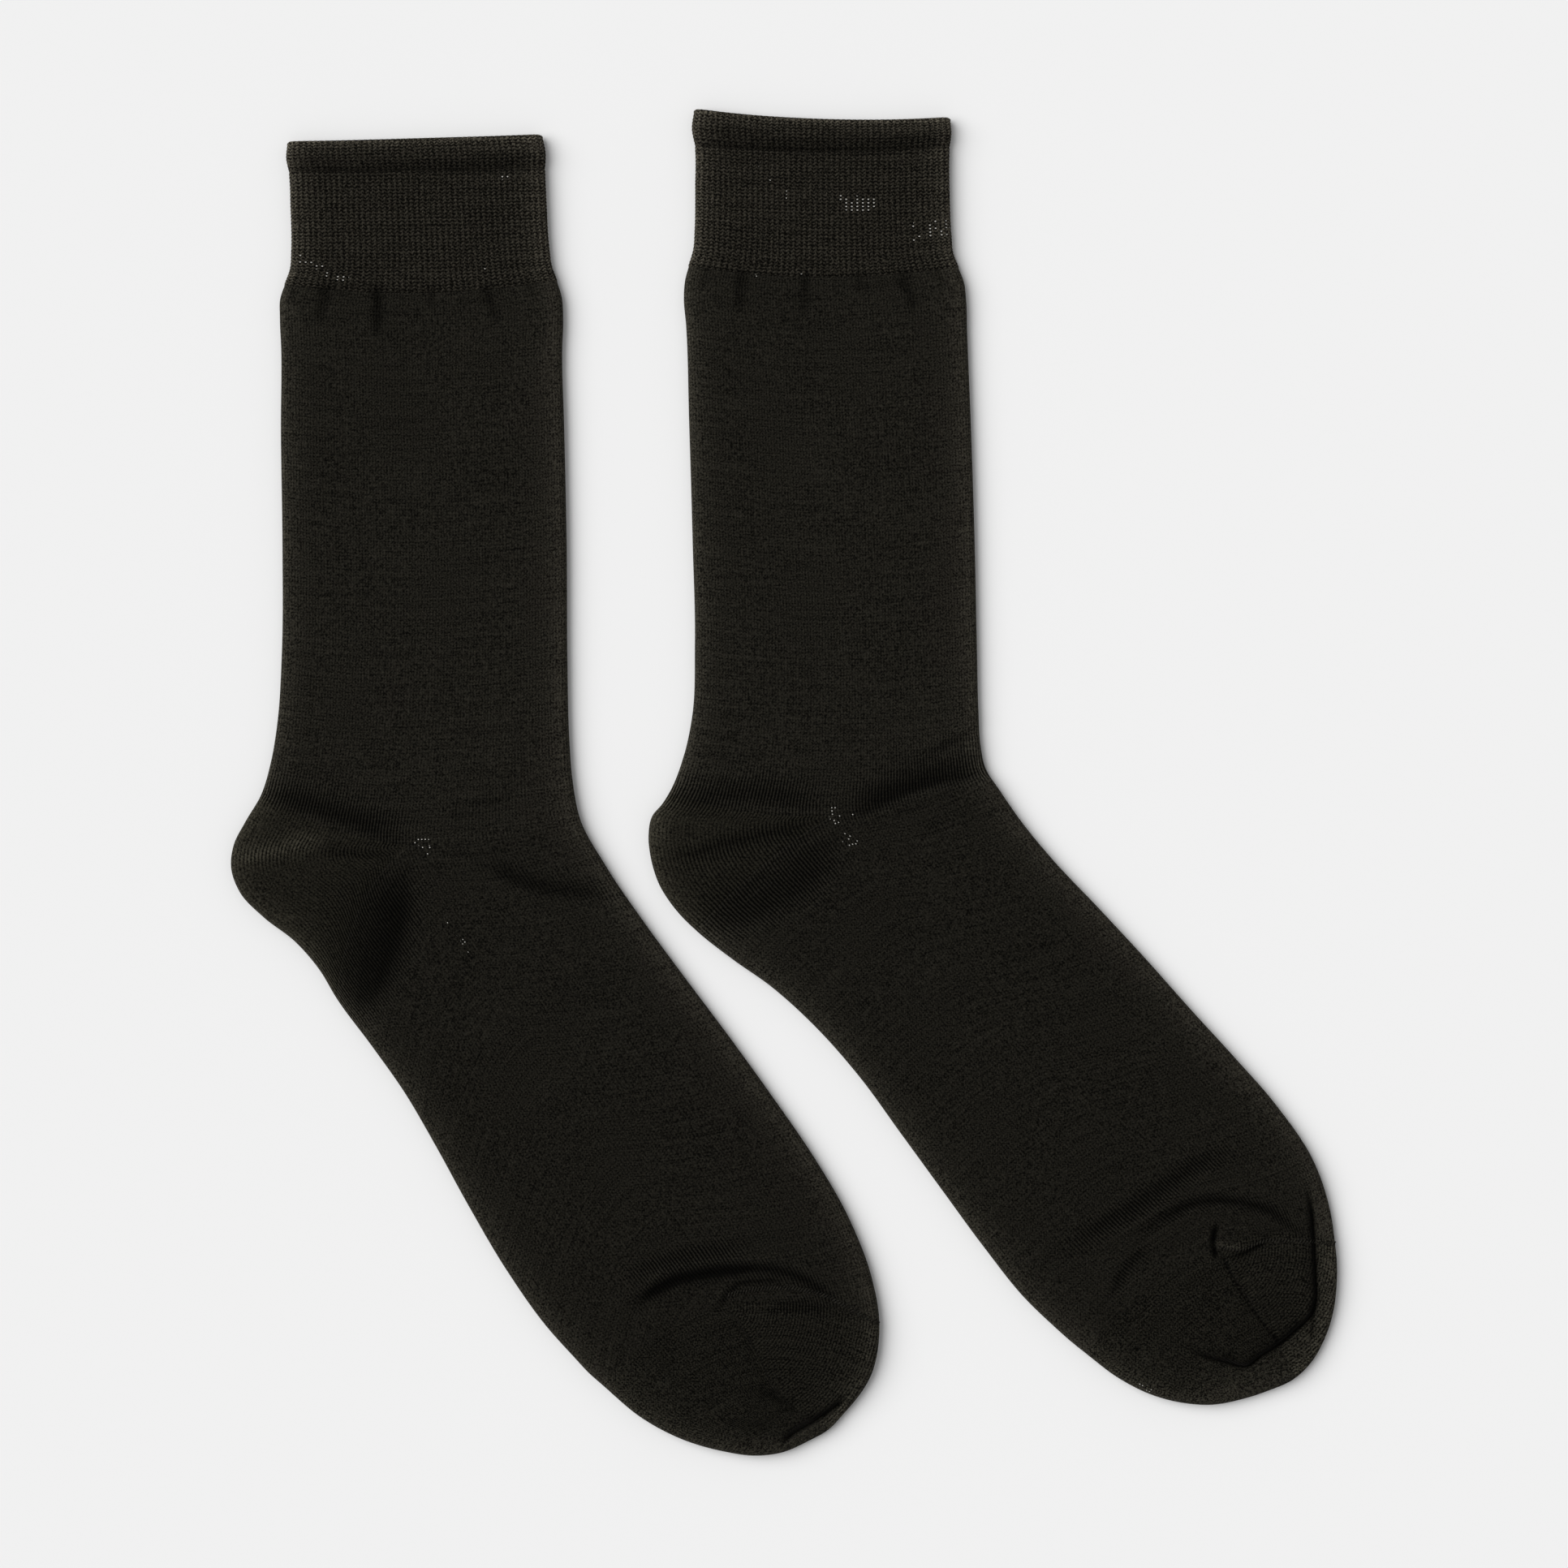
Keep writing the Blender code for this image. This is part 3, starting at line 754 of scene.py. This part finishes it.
for sock in (LEFT, RIGHT):
    form, normals, lift, marks, ribs, courses, down = lay_rib(sock, "welt")
    share = down / down.max()
    roll = 0.06 * np.sin(np.pi * share) - 0.35 * bell((share - 1.0) / 0.08)
    outer = raise_ribs(form, normals, lift, roll, ribs, courses)
    inner = inside_of(form, normals, lift, WELT_WALL, 6)
    up = unit(outer[0] - outer[1])
    turns = np.linspace(0.0, np.pi, 7)[1:-1]
    centre = (outer[0] + inner[0]) / 2
    spoke = (outer[0] - inner[0]) / 2
    lip = np.array([centre + np.cos(turn) * spoke + np.sin(turn) * WELT_WALL / 2 * up for turn in turns])
    depth = down * COURSE
    # Painted highlight along the turned edge, and painted shade on the welt's lower part.
    marks["tone"] = marks["tone"] + 1.6 * np.exp(-depth / 1.7) - 0.36 * ease((depth - 3.5) / 5.0)
    welt = make_cloth(sock.name + "_turned_welt", outer, inner, lip, ribs + 0.5, courses, marks, True)
    finish_piece(welt, RIB_YARN, [sock.name + "_welt"])

# ---- Rib cuffs ----------------------------------------------------------------------------
# Below the welt each cuff is a single layer of 1x1 rib 38 mm deep, knitted on with the leg.
# Combed cotton with elastic yarn laid in; in places a stretched stitch shows as a pinhole.

CUFF_WALL = 1.1

# A crease has the depth of its trough (a ridge when negative), the trough's half width to the left
# and right of its run, the bank of spare cloth on each side, how far the wales open into stripes
# (with painted shade in the grooves between them), how much the colour along it is darkened with
# painted shade or, above zero, lightened with a painted highlight, and the points that it runs through.
Crease = namedtuple("Crease", "depth left right left_bank right_bank stripes tone run")

# Runs where stitches are pulled open and the pale ground shows through as pinholes: how far
# they spread to each side, and what share of the stitches there is open.
Pinholes = namedtuple("Pinholes", "reach share run")


def press(kept, kind, rows):
    """Adds the rows of a table to what is pressed or knitted into a sock, their runs smoothed."""
    kept += [kind(*row[:-1], run=smooth_run(row[-1])) for row in rows]



# Gathers where the rib draws the leg in.
press(LEFT.creases, Crease, (
    (0.95, 2, 1.7, 0.15, 0.1, 0.1, -0.55, ((-125.2, 156), (-124.8, 150), (-125.2, 136))),
    (0.65, 1.9, 1.6, 0.1, 0.1, 0.1, -0.45, ((-139.8, 156.5), (-141, 150.5), (-143.6, 141))),
    (0.6, 1.3, 1.8, 0.1, 0.1, 0.1, -0.4, ((-91.6, 156), (-90.2, 150), (-87.2, 141))),
    (0.35, 1.8, 1.6, 0.05, 0.05, 0, -0.25, ((-108, 154.5), (-108.4, 145))),
    (0.35, 1.3, 1.3, 0.05, 0.05, 0, -0.22, ((-78.4, 157), (-76.4, 147.5))),
    (0.4, 1.3, 1.3, 0.05, 0.05, 0, -0.25, ((-149, 157.5), (-151.2, 147.5))),
))
press(LEFT.under, Crease, (
    (0.35, 1.6, 1.6, 0, 0, 0, -0.16, ((-118, 153), (-118.4, 144))),
    (0.3, 1.4, 1.6, 0, 0, 0, -0.14, ((-97, 153.5), (-96, 146))),
))
press(LEFT.pinholes, Pinholes, (
    (1.5, 0.5, ((-148, 162), (-134.5, 155.2))),
    (0.7, 0.6, ((-92.8, 161.5), (-92.6, 158.6))),
    (0.9, 0.6, ((-88.6, 187.2), (-85.8, 187))),
    (1.1, 0.45, ((-114.2, 183.8), (-110.4, 183.2))),
    (0.6, 0.6, ((-87.4, 155.4), (-87.2, 154.4))),
))
press(RIGHT.creases, Crease, (
    (0.65, 1.8, 1.5, 0.1, 0.1, 0.1, -0.45, ((-13.2, 161), (-12.8, 154), (-13.8, 143.5))),
    (0.6, 1.4, 1.7, 0.1, 0.05, 0.1, -0.42, ((6.4, 159), (7, 152.5), (6.4, 142.5))),
    (0.6, 1.7, 1.5, 0.1, 0.1, 0.1, -0.42, ((34.4, 160), (38, 153), (42.2, 143.5))),
    (0.4, 1.4, 1.3, 0.05, 0.05, 0, -0.28, ((-22.6, 162.5), (-24.6, 151.5))),
    (0.32, 1.6, 1.5, 0.05, 0.05, 0, -0.22, ((23.8, 159), (24.6, 149))),
    (0.36, 1.4, 1.3, 0.05, 0.05, 0, -0.25, ((46.8, 162), (50.2, 151.5))),
))
press(RIGHT.under, Crease, (
    (0.35, 1.5, 1.8, 0, 0, 0, -0.16, ((0, 156.5), (0.4, 147))),
    (0.3, 1.6, 1.4, 0, 0, 0, -0.14, ((28, 157), (30, 149))),
))
press(RIGHT.pinholes, Pinholes, (
    (0.8, 0.5, ((-8.2, 189.6), (-3.2, 186.2))),
    (0.6, 0.7, ((1.2, 182.4), (1.2, 180.2))),
    (2.2, 0.9, ((19, 179.6), (26.2, 178.4))),
    (2.6, 0.45, ((41.8, 170.4), (49.4, 171.8))),
    (0.6, 0.8, ((-9.6, 157.2), (-7.2, 157))),
    (0.6, 0.8, ((4.6, 156.9), (6, 156.9))),
))

for sock in (LEFT, RIGHT):
    form, normals, lift, marks, ribs, courses, down = lay_rib(sock, "cuff")
    from_leg = down - down.max()
    groove = -0.60 * bell((down - 0.3) / 0.8) - 0.25 * bell(from_leg / 0.7)
    outer = raise_ribs(form, normals, lift, groove, ribs, courses)
    inner = inside_of(form, normals, lift, CUFF_WALL, 8)
    # Painted shade in the groove under the welt and just above the leg.
    marks["tone"] = marks["tone"] - 0.65 * np.exp(-down / 0.7) - 0.20 * bell(from_leg / 1.2)
    cuff = make_cloth(sock.name + "_rib_cuff", outer, inner, [], ribs + 0.5, courses, marks, True)
    finish_piece(cuff, RIB_YARN, [sock.name + "_cuff"])

# ---- Legs ---------------------------------------------------------------------------------
# Each leg is a plain knit tube of 200 wales, gathered a little where the rib draws it in.
# Fine combed cotton in stocking stitch, knitted straight on from the cuff.

LEG_WALL = 0.9
LEG_STEPS = (56, 28, 7)  # mesh columns on each half above and below, and round a fold
LEG_YARN = knit_material("Leg knit", (0.0106, 0.0097, 0.0074), (0.10, 0.06, 0.20), 1.1)

# Sewn and gore lines sunk into the upper layer as a row of small dents, each darkened with painted shade by
# its depth.
Gore = namedtuple("Gore", "depth width pitch run")

# The ankle. On the left: the valley under the upper edge of the heel, the heel's shoulder with a
# painted highlight and a dip below it, the long lower hollow, and two folds over the instep. On the
# right: the valley, a second one on the gore, a ridge with a painted highlight, the lower hollow,
# and three folds over the instep.
press(LEFT.creases, Crease, (
    (1.3, 5, 2.2, 0, 0.15, 1, -0.62, ((-172, 0.5), (-160, -3.2), (-150, -6), (-137, -10.2), (-124, -14.6),
        (-109.5, -20))),
    (-0.7, 3.2, 2.4, 0, 0, 0.5, 1.1, ((-172, -24.5), (-160, -21.5), (-151, -19.3), (-138, -16.4))),
    (0.4, 2, 1.6, 0, 0, 0.5, -0.35, ((-146, -20.4), (-131, -21.6), (-116, -20.4))),
    (1.4, 4.2, 14, 0.05, 0, 1, -0.66, ((-118, -19), (-117.6, -32), (-119.4, -46), (-124.2, -59),
        (-131, -69), (-138.5, -80))),
    (1, 3.2, 2, 0.1, 0.15, 0.35, -0.48, ((-98, -22.6), (-90, -25.6), (-82, -29.4), (-72, -32.6),
        (-58.2, -33.8), (-44, -34.4))),
    (0.3, 3, 3, 0, 0, 0.2, -0.2, ((-108, -8), (-96, -8.5), (-80, -2))),
))
press(LEFT.under, Crease, (
    (0.5, 3, 3, 0, 0, 0.6, -0.23, ((-158, -8), (-140, -12.5), (-124, -16))),
    (0.45, 3, 5, 0, 0, 0.6, -0.2, ((-118.5, -30), (-119.5, -45), (-126, -60))),
    (0.35, 2.5, 2.5, 0, 0, 0.3, -0.16, ((-84, -26), (-72, -31), (-60, -30))),
))
press(LEFT.gores, Gore, (
    (0.18, 0.5, 1.3, ((-157.5, -19), (-141, -18.6), (-128, -18.4), (-117, -18.6))),
))
press(LEFT.pinholes, Pinholes, (
    (1.7, 0.32, ((-112, -17), (-110.2, -21.4))),
    (0.4, 0.6, ((-102.4, -43), (-97, -52))),
))
press(RIGHT.creases, Crease, (
    (1.35, 4.2, 3, 0, 0.22, 1, -0.52, ((-50, -1.6), (-37, -3.6), (-22, -4.4), (-9.5, -3.4), (2.8, -4.6),
        (19, -10.5))),
    (0.75, 2.4, 3.4, 0.12, 0.05, 0.6, -0.36, ((-42, -25.4), (-32.5, -23.2), (-17.8, -18.8), (-7, -15.8),
        (3, -13.2), (17, -10.4))),
    (-0.5, 2.4, 2.8, 0, 0, 0.1, 0.6, ((-42, -5), (-38.5, -11.5), (-36.5, -20))),
    (1.35, 8.5, 4.5, 0, 0.05, 1, -0.45, ((-33, -47), (-20, -42), (-6, -37.4), (5.5, -30.6), (12, -22.4),
        (15, -10))),
    (1.8, 5.6, 1.6, 0, 0.3, 1, -0.74, ((14, -12.4), (23, -9), (32.3, -4.8), (40.5, -1.4), (49.5, 1.3),
        (61, 3.6), (76, 6))),
    (0.6, 1.1, 1.3, 0.05, 0.2, 0.2, -0.45, ((43, 8), (49, 11.4), (55, 14.4), (68, 19))),
    (0.25, 3, 3, 0, 0, 0.1, -0.11, ((40, -16), (52, -11.5), (63, -10.5))),
))
press(RIGHT.under, Crease, (
    (0.5, 3, 2.6, 0, 0, 0.6, -0.23, ((-34, -7), (-18, -8), (0, -8), (11, -10))),
    (0.45, 5, 3, 0, 0, 0.6, -0.2, ((-14, -43), (2, -38), (11, -30))),
    (0.5, 2.6, 1.8, 0, 0, 0.4, -0.23, ((28, -8), (42, -3), (56, 0))),
))
press(RIGHT.gores, Gore, (
    (0.18, 0.5, 1.3, ((-36, -23.6), (-20, -19.2), (-4, -15.2), (12.5, -11.2))),
))
press(RIGHT.pinholes, Pinholes, (
    (1.6, 0.42, ((15, -8), (16.6, -15))),
    (1.2, 0.6, ((19.2, -16.8), (21.6, -17.8))),
    (0.8, 0.6, ((20.2, -9), (21, -9.6))),
))


def plain_knit(sock, rows, steps, wall, columns=full_ring):
    """The outer and inner faces, stitch counts and masks of a stretch of plain knit."""
    places, wales, above = columns(sock, rows, *steps)
    form, normals, lift, marks = sock.lay(rows, places, above)
    outer = form + normals * lift[:, :, None]
    inner = inside_of(form, normals, lift, wall, len(rows) // 8)
    courses = np.concatenate([np.zeros((1, places.shape[1])), np.cumsum(gaps(places), axis=0)])
    marks["open_stitches"] = sock.open_stitches(places, above)
    return outer, inner, [], wales, courses, marks


for sock in (LEFT, RIGHT):
    begin, end = sock.stretch("leg")
    rows = np.concatenate([sock.rows(begin, begin + 3, 0.7)[:-1], sock.rows(begin + 3, end, 1.0)])
    leg = make_cloth(sock.name + "_knit_leg", *plain_knit(sock, rows, LEG_STEPS, LEG_WALL), True)
    finish_piece(leg, LEG_YARN, [sock.name + "_leg"])

# ---- Heel pockets -------------------------------------------------------------------------
# Each heel is a pocket knitted to and fro on half of the needles, so its wales mitre along a
# gore line from the side of the ankle to the heel. Cotton plated with polyamide.

HEEL_WALL = 0.9
HEEL_STEPS = (84, 42, 8)
HEEL_YARN = knit_material("Heel knit", (0.0108, 0.0099, 0.0072), (0.14, 0.05, 0.18), 1.0)


def back_strip(sock, rows, flat, under_flat, turn):
    """Columns on the back half only: below from the side line to the back fold, and back on top."""
    top, share = sock.half(rows, "back", flat, turn)
    low, low_share = sock.half(rows, "back", under_flat, turn)
    places = np.concatenate([low, top[:, -2::-1]], axis=1)
    wales = np.concatenate([HALF_ROUND * (low_share - 1), HALF_ROUND * (1 - share[:, -2::-1])], axis=1)
    above = np.concatenate([-np.ones(low.shape[1]), np.ones(top.shape[1] - 1)])
    return places, wales, above


for sock in (LEFT, RIGHT):
    rows = sock.rows(*sock.stretch("heel"), 0.6)
    pocket = plain_knit(sock, rows, HEEL_STEPS, HEEL_WALL, back_strip)
    heel = make_cloth(sock.name + "_heel_pocket", *pocket, False)
    finish_piece(heel, HEEL_YARN, [sock.name + "_heel"])

# ---- Feet ---------------------------------------------------------------------------------
# Each foot is a plain knit tube like the leg, from the ankle to the toe pocket, its instep half
# in front and its sole half at the back. Fine combed cotton in stocking stitch.

FOOT_WALL = 0.9

# Where the upper layer of the toe has slid back and ends in a lip, with the layer under it
# showing beyond, on the left of the run. The crevice is how deep the slit under the lip sinks; the
# slit also gets painted shade.
Lip = namedtuple("Lip", "drop crevice width start_fade end_fade run")

# The toe. On the left: a ripple, the arched fold with painted shade over its left half, a dip
# below it, the pleat at the point of the pocket and four dents. On the right: two ripples and the
# end of one, the pinch at the point of the pocket, the roll beside it with a painted highlight, and
# the hollows round them.
press(LEFT.creases, Crease, (
    (0.55, 1.8, 2.6, 0.12, 0.22, 1, -0.32, ((-51.5, -155.5), (-41, -148.6), (-30.8, -145.4), (-20, -143.4),
        (-7, -143))),
    (1.3, 1.6, 1.4, 0.3, 0.25, 0.9, -0.54, ((-52, -165), (-45.5, -160.4), (-39.3, -155.8), (-32, -152.6),
        (-24, -150.8), (-14, -149.6), (-4, -149.6), (2.6, -151), (8.6, -153.8), (13.6, -157.4),
        (18.5, -161), (27, -164.5))),
    (0.55, 2.1, 2, 0, 0, 0.3, -0.52, ((-49, -163), (-39.3, -156.2), (-32, -152.8), (-24, -151), (-16, -150),
        (-6, -150))),
    (0.5, 2, 1.6, 0, 0, 0.6, -0.34, ((-6, -160.5), (2, -161.2), (8, -161.6), (17.5, -163))),
    (0.6, 0.9, 0.9, 0.12, 0.05, 0.6, -0.5, ((-23.6, -163.8), (-19.4, -160.6), (-17.4, -157.6),
        (-14.4, -154.6), (-8, -153.2), (4, -153.4))),
    (0.4, 1.8, 1.4, 0, 0, 0.4, -0.3, ((-20, -195.4), (-12, -197.8), (-1, -197.6))),
    (0.4, 1.7, 1.7, 0, 0, 0.3, -0.32, ((-9, -186), (-2.5, -189.3), (5.2, -192))),
    (0.2, 3, 3, 0, 0, 0.1, -0.09, ((-35, -166), (-36, -172), (-31, -179))),
))
press(LEFT.under, Crease, (
    (0.5, 1.8, 2.2, 0, 0, 0.8, -0.23, ((-40, -157), (-26, -150.5), (-10, -149), (6, -154))),
))
press(LEFT.lips, Lip, (
    (0.7, 1.9, 1, 5, 5, ((19.8, -188.2), (14.8, -192.2), (8.2, -196.4), (2.6, -199.8), (-1.6, -203.4))),
))
press(LEFT.gores, Gore, (
    (0.22, 0.5, 2.1, ((-15.2, -165), (-12, -171), (-6.6, -182.4), (-4, -187))),
))
press(RIGHT.creases, Crease, (
    (1, 2.4, 2.4, 0.1, 0.15, 1, -0.4, ((83, -148.5), (97, -137), (110.3, -129.3), (120, -122.6),
        (131, -115.6), (146, -111.5))),
    (1.15, 1.6, 1.3, 0.15, 0.25, 0.9, -0.55, ((107, -139.5), (118, -133.4), (126.3, -129.5),
        (135.3, -128.4), (143, -129.4), (150, -131.6), (157, -136.5), (163.5, -142.5))),
    (0.45, 1.5, 1.5, 0.05, 0.05, 0.6, -0.38, ((100, -160), (103.5, -152.5), (108, -146.5), (114, -141))),
    (1.4, 0.7, 0.8, 0.15, 0.25, 0.1, -0.95, ((134, -134.6), (132.7, -138.6), (132.5, -142.4),
        (133.8, -147.4))),
    (-0.7, 1, 1.1, 0, 0, 0, 0.9, ((131, -141.2), (136.5, -142.2), (143.6, -143.2))),
    (0.7, 1.2, 0.9, 0, 0, 0.4, -0.62, ((136, -146.2), (141, -144.8), (146, -142.4), (152, -139))),
    (0.7, 0.8, 0.9, 0, 0, 0, -0.55, ((163.4, -157), (163.4, -164.4), (162.6, -174))),
    (0.2, 3, 3, 0, 0, 0, -0.09, ((93, -158), (100, -163), (108, -169))),
))
press(RIGHT.under, Crease, (
    (0.45, 2.2, 2.2, 0, 0, 0.8, -0.2, ((98, -138), (114, -128), (128, -121))),
))
press(RIGHT.lips, Lip, (
    (1, 1.5, 0.75, 14, 24, ((160.2, -121), (162.3, -132), (163, -142.8), (163.4, -152.5), (163.5, -159.2),
        (162.2, -163.2), (157, -168.4), (151.3, -173), (146.6, -176), (142.6, -178.9), (136.8, -177.8),
        (130.5, -176.2), (120, -171))),
))
press(RIGHT.gores, Gore, (
    (0.5, 0.65, 1.5, ((135.2, -145.6), (137, -149.6), (141, -156.8), (145.8, -163.8), (153, -172.6))),
))
press(RIGHT.pinholes, Pinholes, (
    (0.8, 0.45, ((109, -184.5), (112.6, -187))),
))

for sock in (LEFT, RIGHT):
    begin, end = sock.stretch("foot")
    rows = np.concatenate([sock.rows(begin, end - 2.5, 1.0)[:-1], sock.rows(end - 2.5, end, 0.5)])
    foot = make_cloth(sock.name + "_knit_foot", *plain_knit(sock, rows, LEG_STEPS, FOOT_WALL), True)
    finish_piece(foot, LEG_YARN, [sock.name + "_foot"])

# ---- Toe pockets --------------------------------------------------------------------------
# Each toe is a pocket knitted to and fro like the heel, from the sole round the toes to the
# linking seam over the instep. Cotton plated with polyamide.

TOE_WALL = 0.9
TOE_STEPS = (84, 36, 8)
TOE_WALE = 0.95  # on the instep side the wales curve round the point of the pocket
TOE_STRIPES_AND_GROOVE_SHADE = 0.16  # there the wales stand a little open, with painted shade in the grooves between them
TOE_YARN = knit_material("Toe knit", (0.0100, 0.0092, 0.0069), (0.10, 0.05, 0.18), 1.5)

for sock in (LEFT, RIGHT):
    begin, end = sock.stretch("toe")
    rows = sock.rows(begin, end + 0.9, 0.5)
    outer, inner, lip, wales, courses, marks = plain_knit(sock, rows, TOE_STEPS, TOE_WALL)
    pocket_point = sock.at("side", np.array([float(begin)]))[0]
    instep = (wales > HALF_ROUND) & (wales < 3 * HALF_ROUND)
    around = HALF_ROUND + lengths(outer[:, :, :2] - pocket_point) / TOE_WALE
    wales = np.where(instep, around, wales)
    marks["stripes"] = np.maximum(marks["stripes"], TOE_STRIPES_AND_GROOVE_SHADE * instep)
    inner_tip = sock.toe_tip + TOE_WALL * unit(pocket_point - sock.toe_tip)
    tips = [np.full(outer[:1].shape, [*tip, sock.thick[-1] / 2]) for tip in (sock.toe_tip, inner_tip)]
    outer = np.concatenate([outer, tips[0]])
    inner = np.concatenate([inner, tips[1]])
    wales = np.concatenate([wales, wales[-1:]])
    courses = np.concatenate([courses, courses[-1:] + 1.0])
    marks = {mark: np.concatenate([values, values[-1:]]) for mark, values in marks.items()}
    toe = make_cloth(sock.name + "_toe_pocket", outer, inner, lip, wales, courses, marks, True)
    finish_piece(toe, TOE_YARN, [sock.name + "_toe"])

# ---- Linking seams ------------------------------------------------------------------------
# The toe pocket is closed on to the instep by linking: a chain of small slanting loops that
# takes up every stitch, from the point of the pocket to the front fold, on both layers.

SEAM_YARN = knit_material("Seam yarn", (0.0140, 0.0130, 0.0104), (0.0, 0.0, 0.10), 1.0, 0.0)
SEAM_PITCH = 0.95
SEAM_LIFT = 0.06  # above the knit
LOOP_LENGTH = 1.9  # across the seam
LOOP_THICK = 0.75
LEFT_SEAM = ((-17, -157.4), (-8, -155.4), (4, -155.4), (13, -157.8), (21.3, -162), (28.9, -166.2))
RIGHT_SEAM = ((134.8, -142.6), (141, -143.2), (146.5, -141), (155, -140.6), (163, -141), (169.6, -141.6))


def seam_loop(centre, along, up, across):
    """The corner points and faces of one plump loop that slants over the seam."""
    points = []
    for level in (-1.0, -0.5, 0.5, 1.0):
        girth = np.sqrt(max(1.0 - (0.96 * level) ** 2, 0.0))
        for turn in np.linspace(0.0, 2 * np.pi, 7)[:6]:
            rim = girth * LOOP_THICK / 2 * (np.cos(turn) * along + 0.8 * np.sin(turn) * up)
            points.append(centre + across * LOOP_LENGTH / 2 * level + rim)
    faces = [tuple(range(5, -1, -1)), tuple(range(18, 24))]
    for first in (0, 6, 12):
        for step in range(6):
            here = first + step
            after = first + (step + 1) % 6
            faces.append((here, after, after + 6, here + 6))
    return points, faces


for sock, seam in ((LEFT, LEFT_SEAM), (RIGHT, RIGHT_SEAM)):
    run = smooth_run(seam, SEAM_PITCH)
    row = np.full(len(run), float(sock.stretch("toe")[0]))
    points = []
    faces = []
    for layer in (1.0, -1.0):
        form, normals, lift, marks = sock.lay(row, run[:, None, :], np.array([layer]))
        outer = form[:, 0] + normals[:, 0] * (lift[:, 0] + SEAM_LIFT)[:, None]
        ahead = np.gradient(outer, axis=0)
        for centre, forward, up in zip(outer, ahead, normals[:, 0]):
            up = unit(up)
            forward = unit(forward)
            slanted = unit(0.85 * np.cross(up, forward) + 0.5 * forward)
            some, shapes = seam_loop(centre, forward, up, slanted)
            faces += [tuple(corner + len(points) for corner in shape) for shape in shapes]
            points += [(x * MM, y * MM, max(z, TABLE_GAP) * MM) for x, y, z in some]
    mesh = bpy.data.meshes.new(sock.name + "_linking_seam")
    mesh.from_pydata(points, [], faces)
    mesh.polygons.foreach_set("use_smooth", np.ones(len(faces), bool))
    seam_piece = into_scene(sock.name + "_linking_seam", mesh)
    mesh.materials.append(SEAM_YARN)
    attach(seam_piece, "root")

# ---- Table top, light and camera ----------------------------------------------------------
# The pair lies on a plain pale table. A broad soft lamp stands up and to the left, and the
# room's own light fills the rest. The camera looks straight down.

TABLE_HALF = 4.0  # metres in this section
VIEW_WIDE = 0.483  # what the camera takes in, at the height of the upper layers
UPPER_LAYERS = 0.004
FILM = 36.0
LENS = 100.0

corners = [(x * TABLE_HALF, y * TABLE_HALF, 0) for x, y in ((-1, -1), (1, -1), (1, 1), (-1, 1))]
floor_mesh = bpy.data.meshes.new("table_top")
floor_mesh.from_pydata(corners, [], [(0, 1, 2, 3)])
table_top = into_scene("table_top", floor_mesh)
paint = bpy.data.materials.new("Pale matt paint")
paint.use_nodes = True
matt = {"Base Color": (0.86, 0.86, 0.86, 1.0), "Roughness": 0.9, "Specular IOR Level": 0.0}
fill(paint.node_tree.nodes["Principled BSDF"], matt)
floor_mesh.materials.append(paint)

room = bpy.data.worlds.new("Room")
room.use_nodes = True
fill(room.node_tree.nodes["Background"], {"Color": (1.0, 1.0, 1.0, 1.0), "Strength": 0.36})
bpy.context.scene.world = room
bpy.context.scene.view_settings.view_transform = "Standard"

lamp_data = bpy.data.lights.new("Soft lamp", "SUN")
lamp_data.angle = 1.0
lamp_data.energy = 2.92
lamp = into_scene("Soft lamp", lamp_data)
lamp.location = (-1.5, 0.5, 1.6)
lamp.rotation_mode = "QUATERNION"
aim = -lamp.location
lamp.rotation_quaternion = aim.to_track_quat("-Z", "Y")

camera_data = bpy.data.cameras.new("Camera")
camera_data.lens = LENS
camera_data.sensor_width = FILM
camera = into_scene("Camera", camera_data)
camera.location = (0.0, 0.0, VIEW_WIDE / FILM * LENS + UPPER_LAYERS)
bpy.context.scene.camera = camera
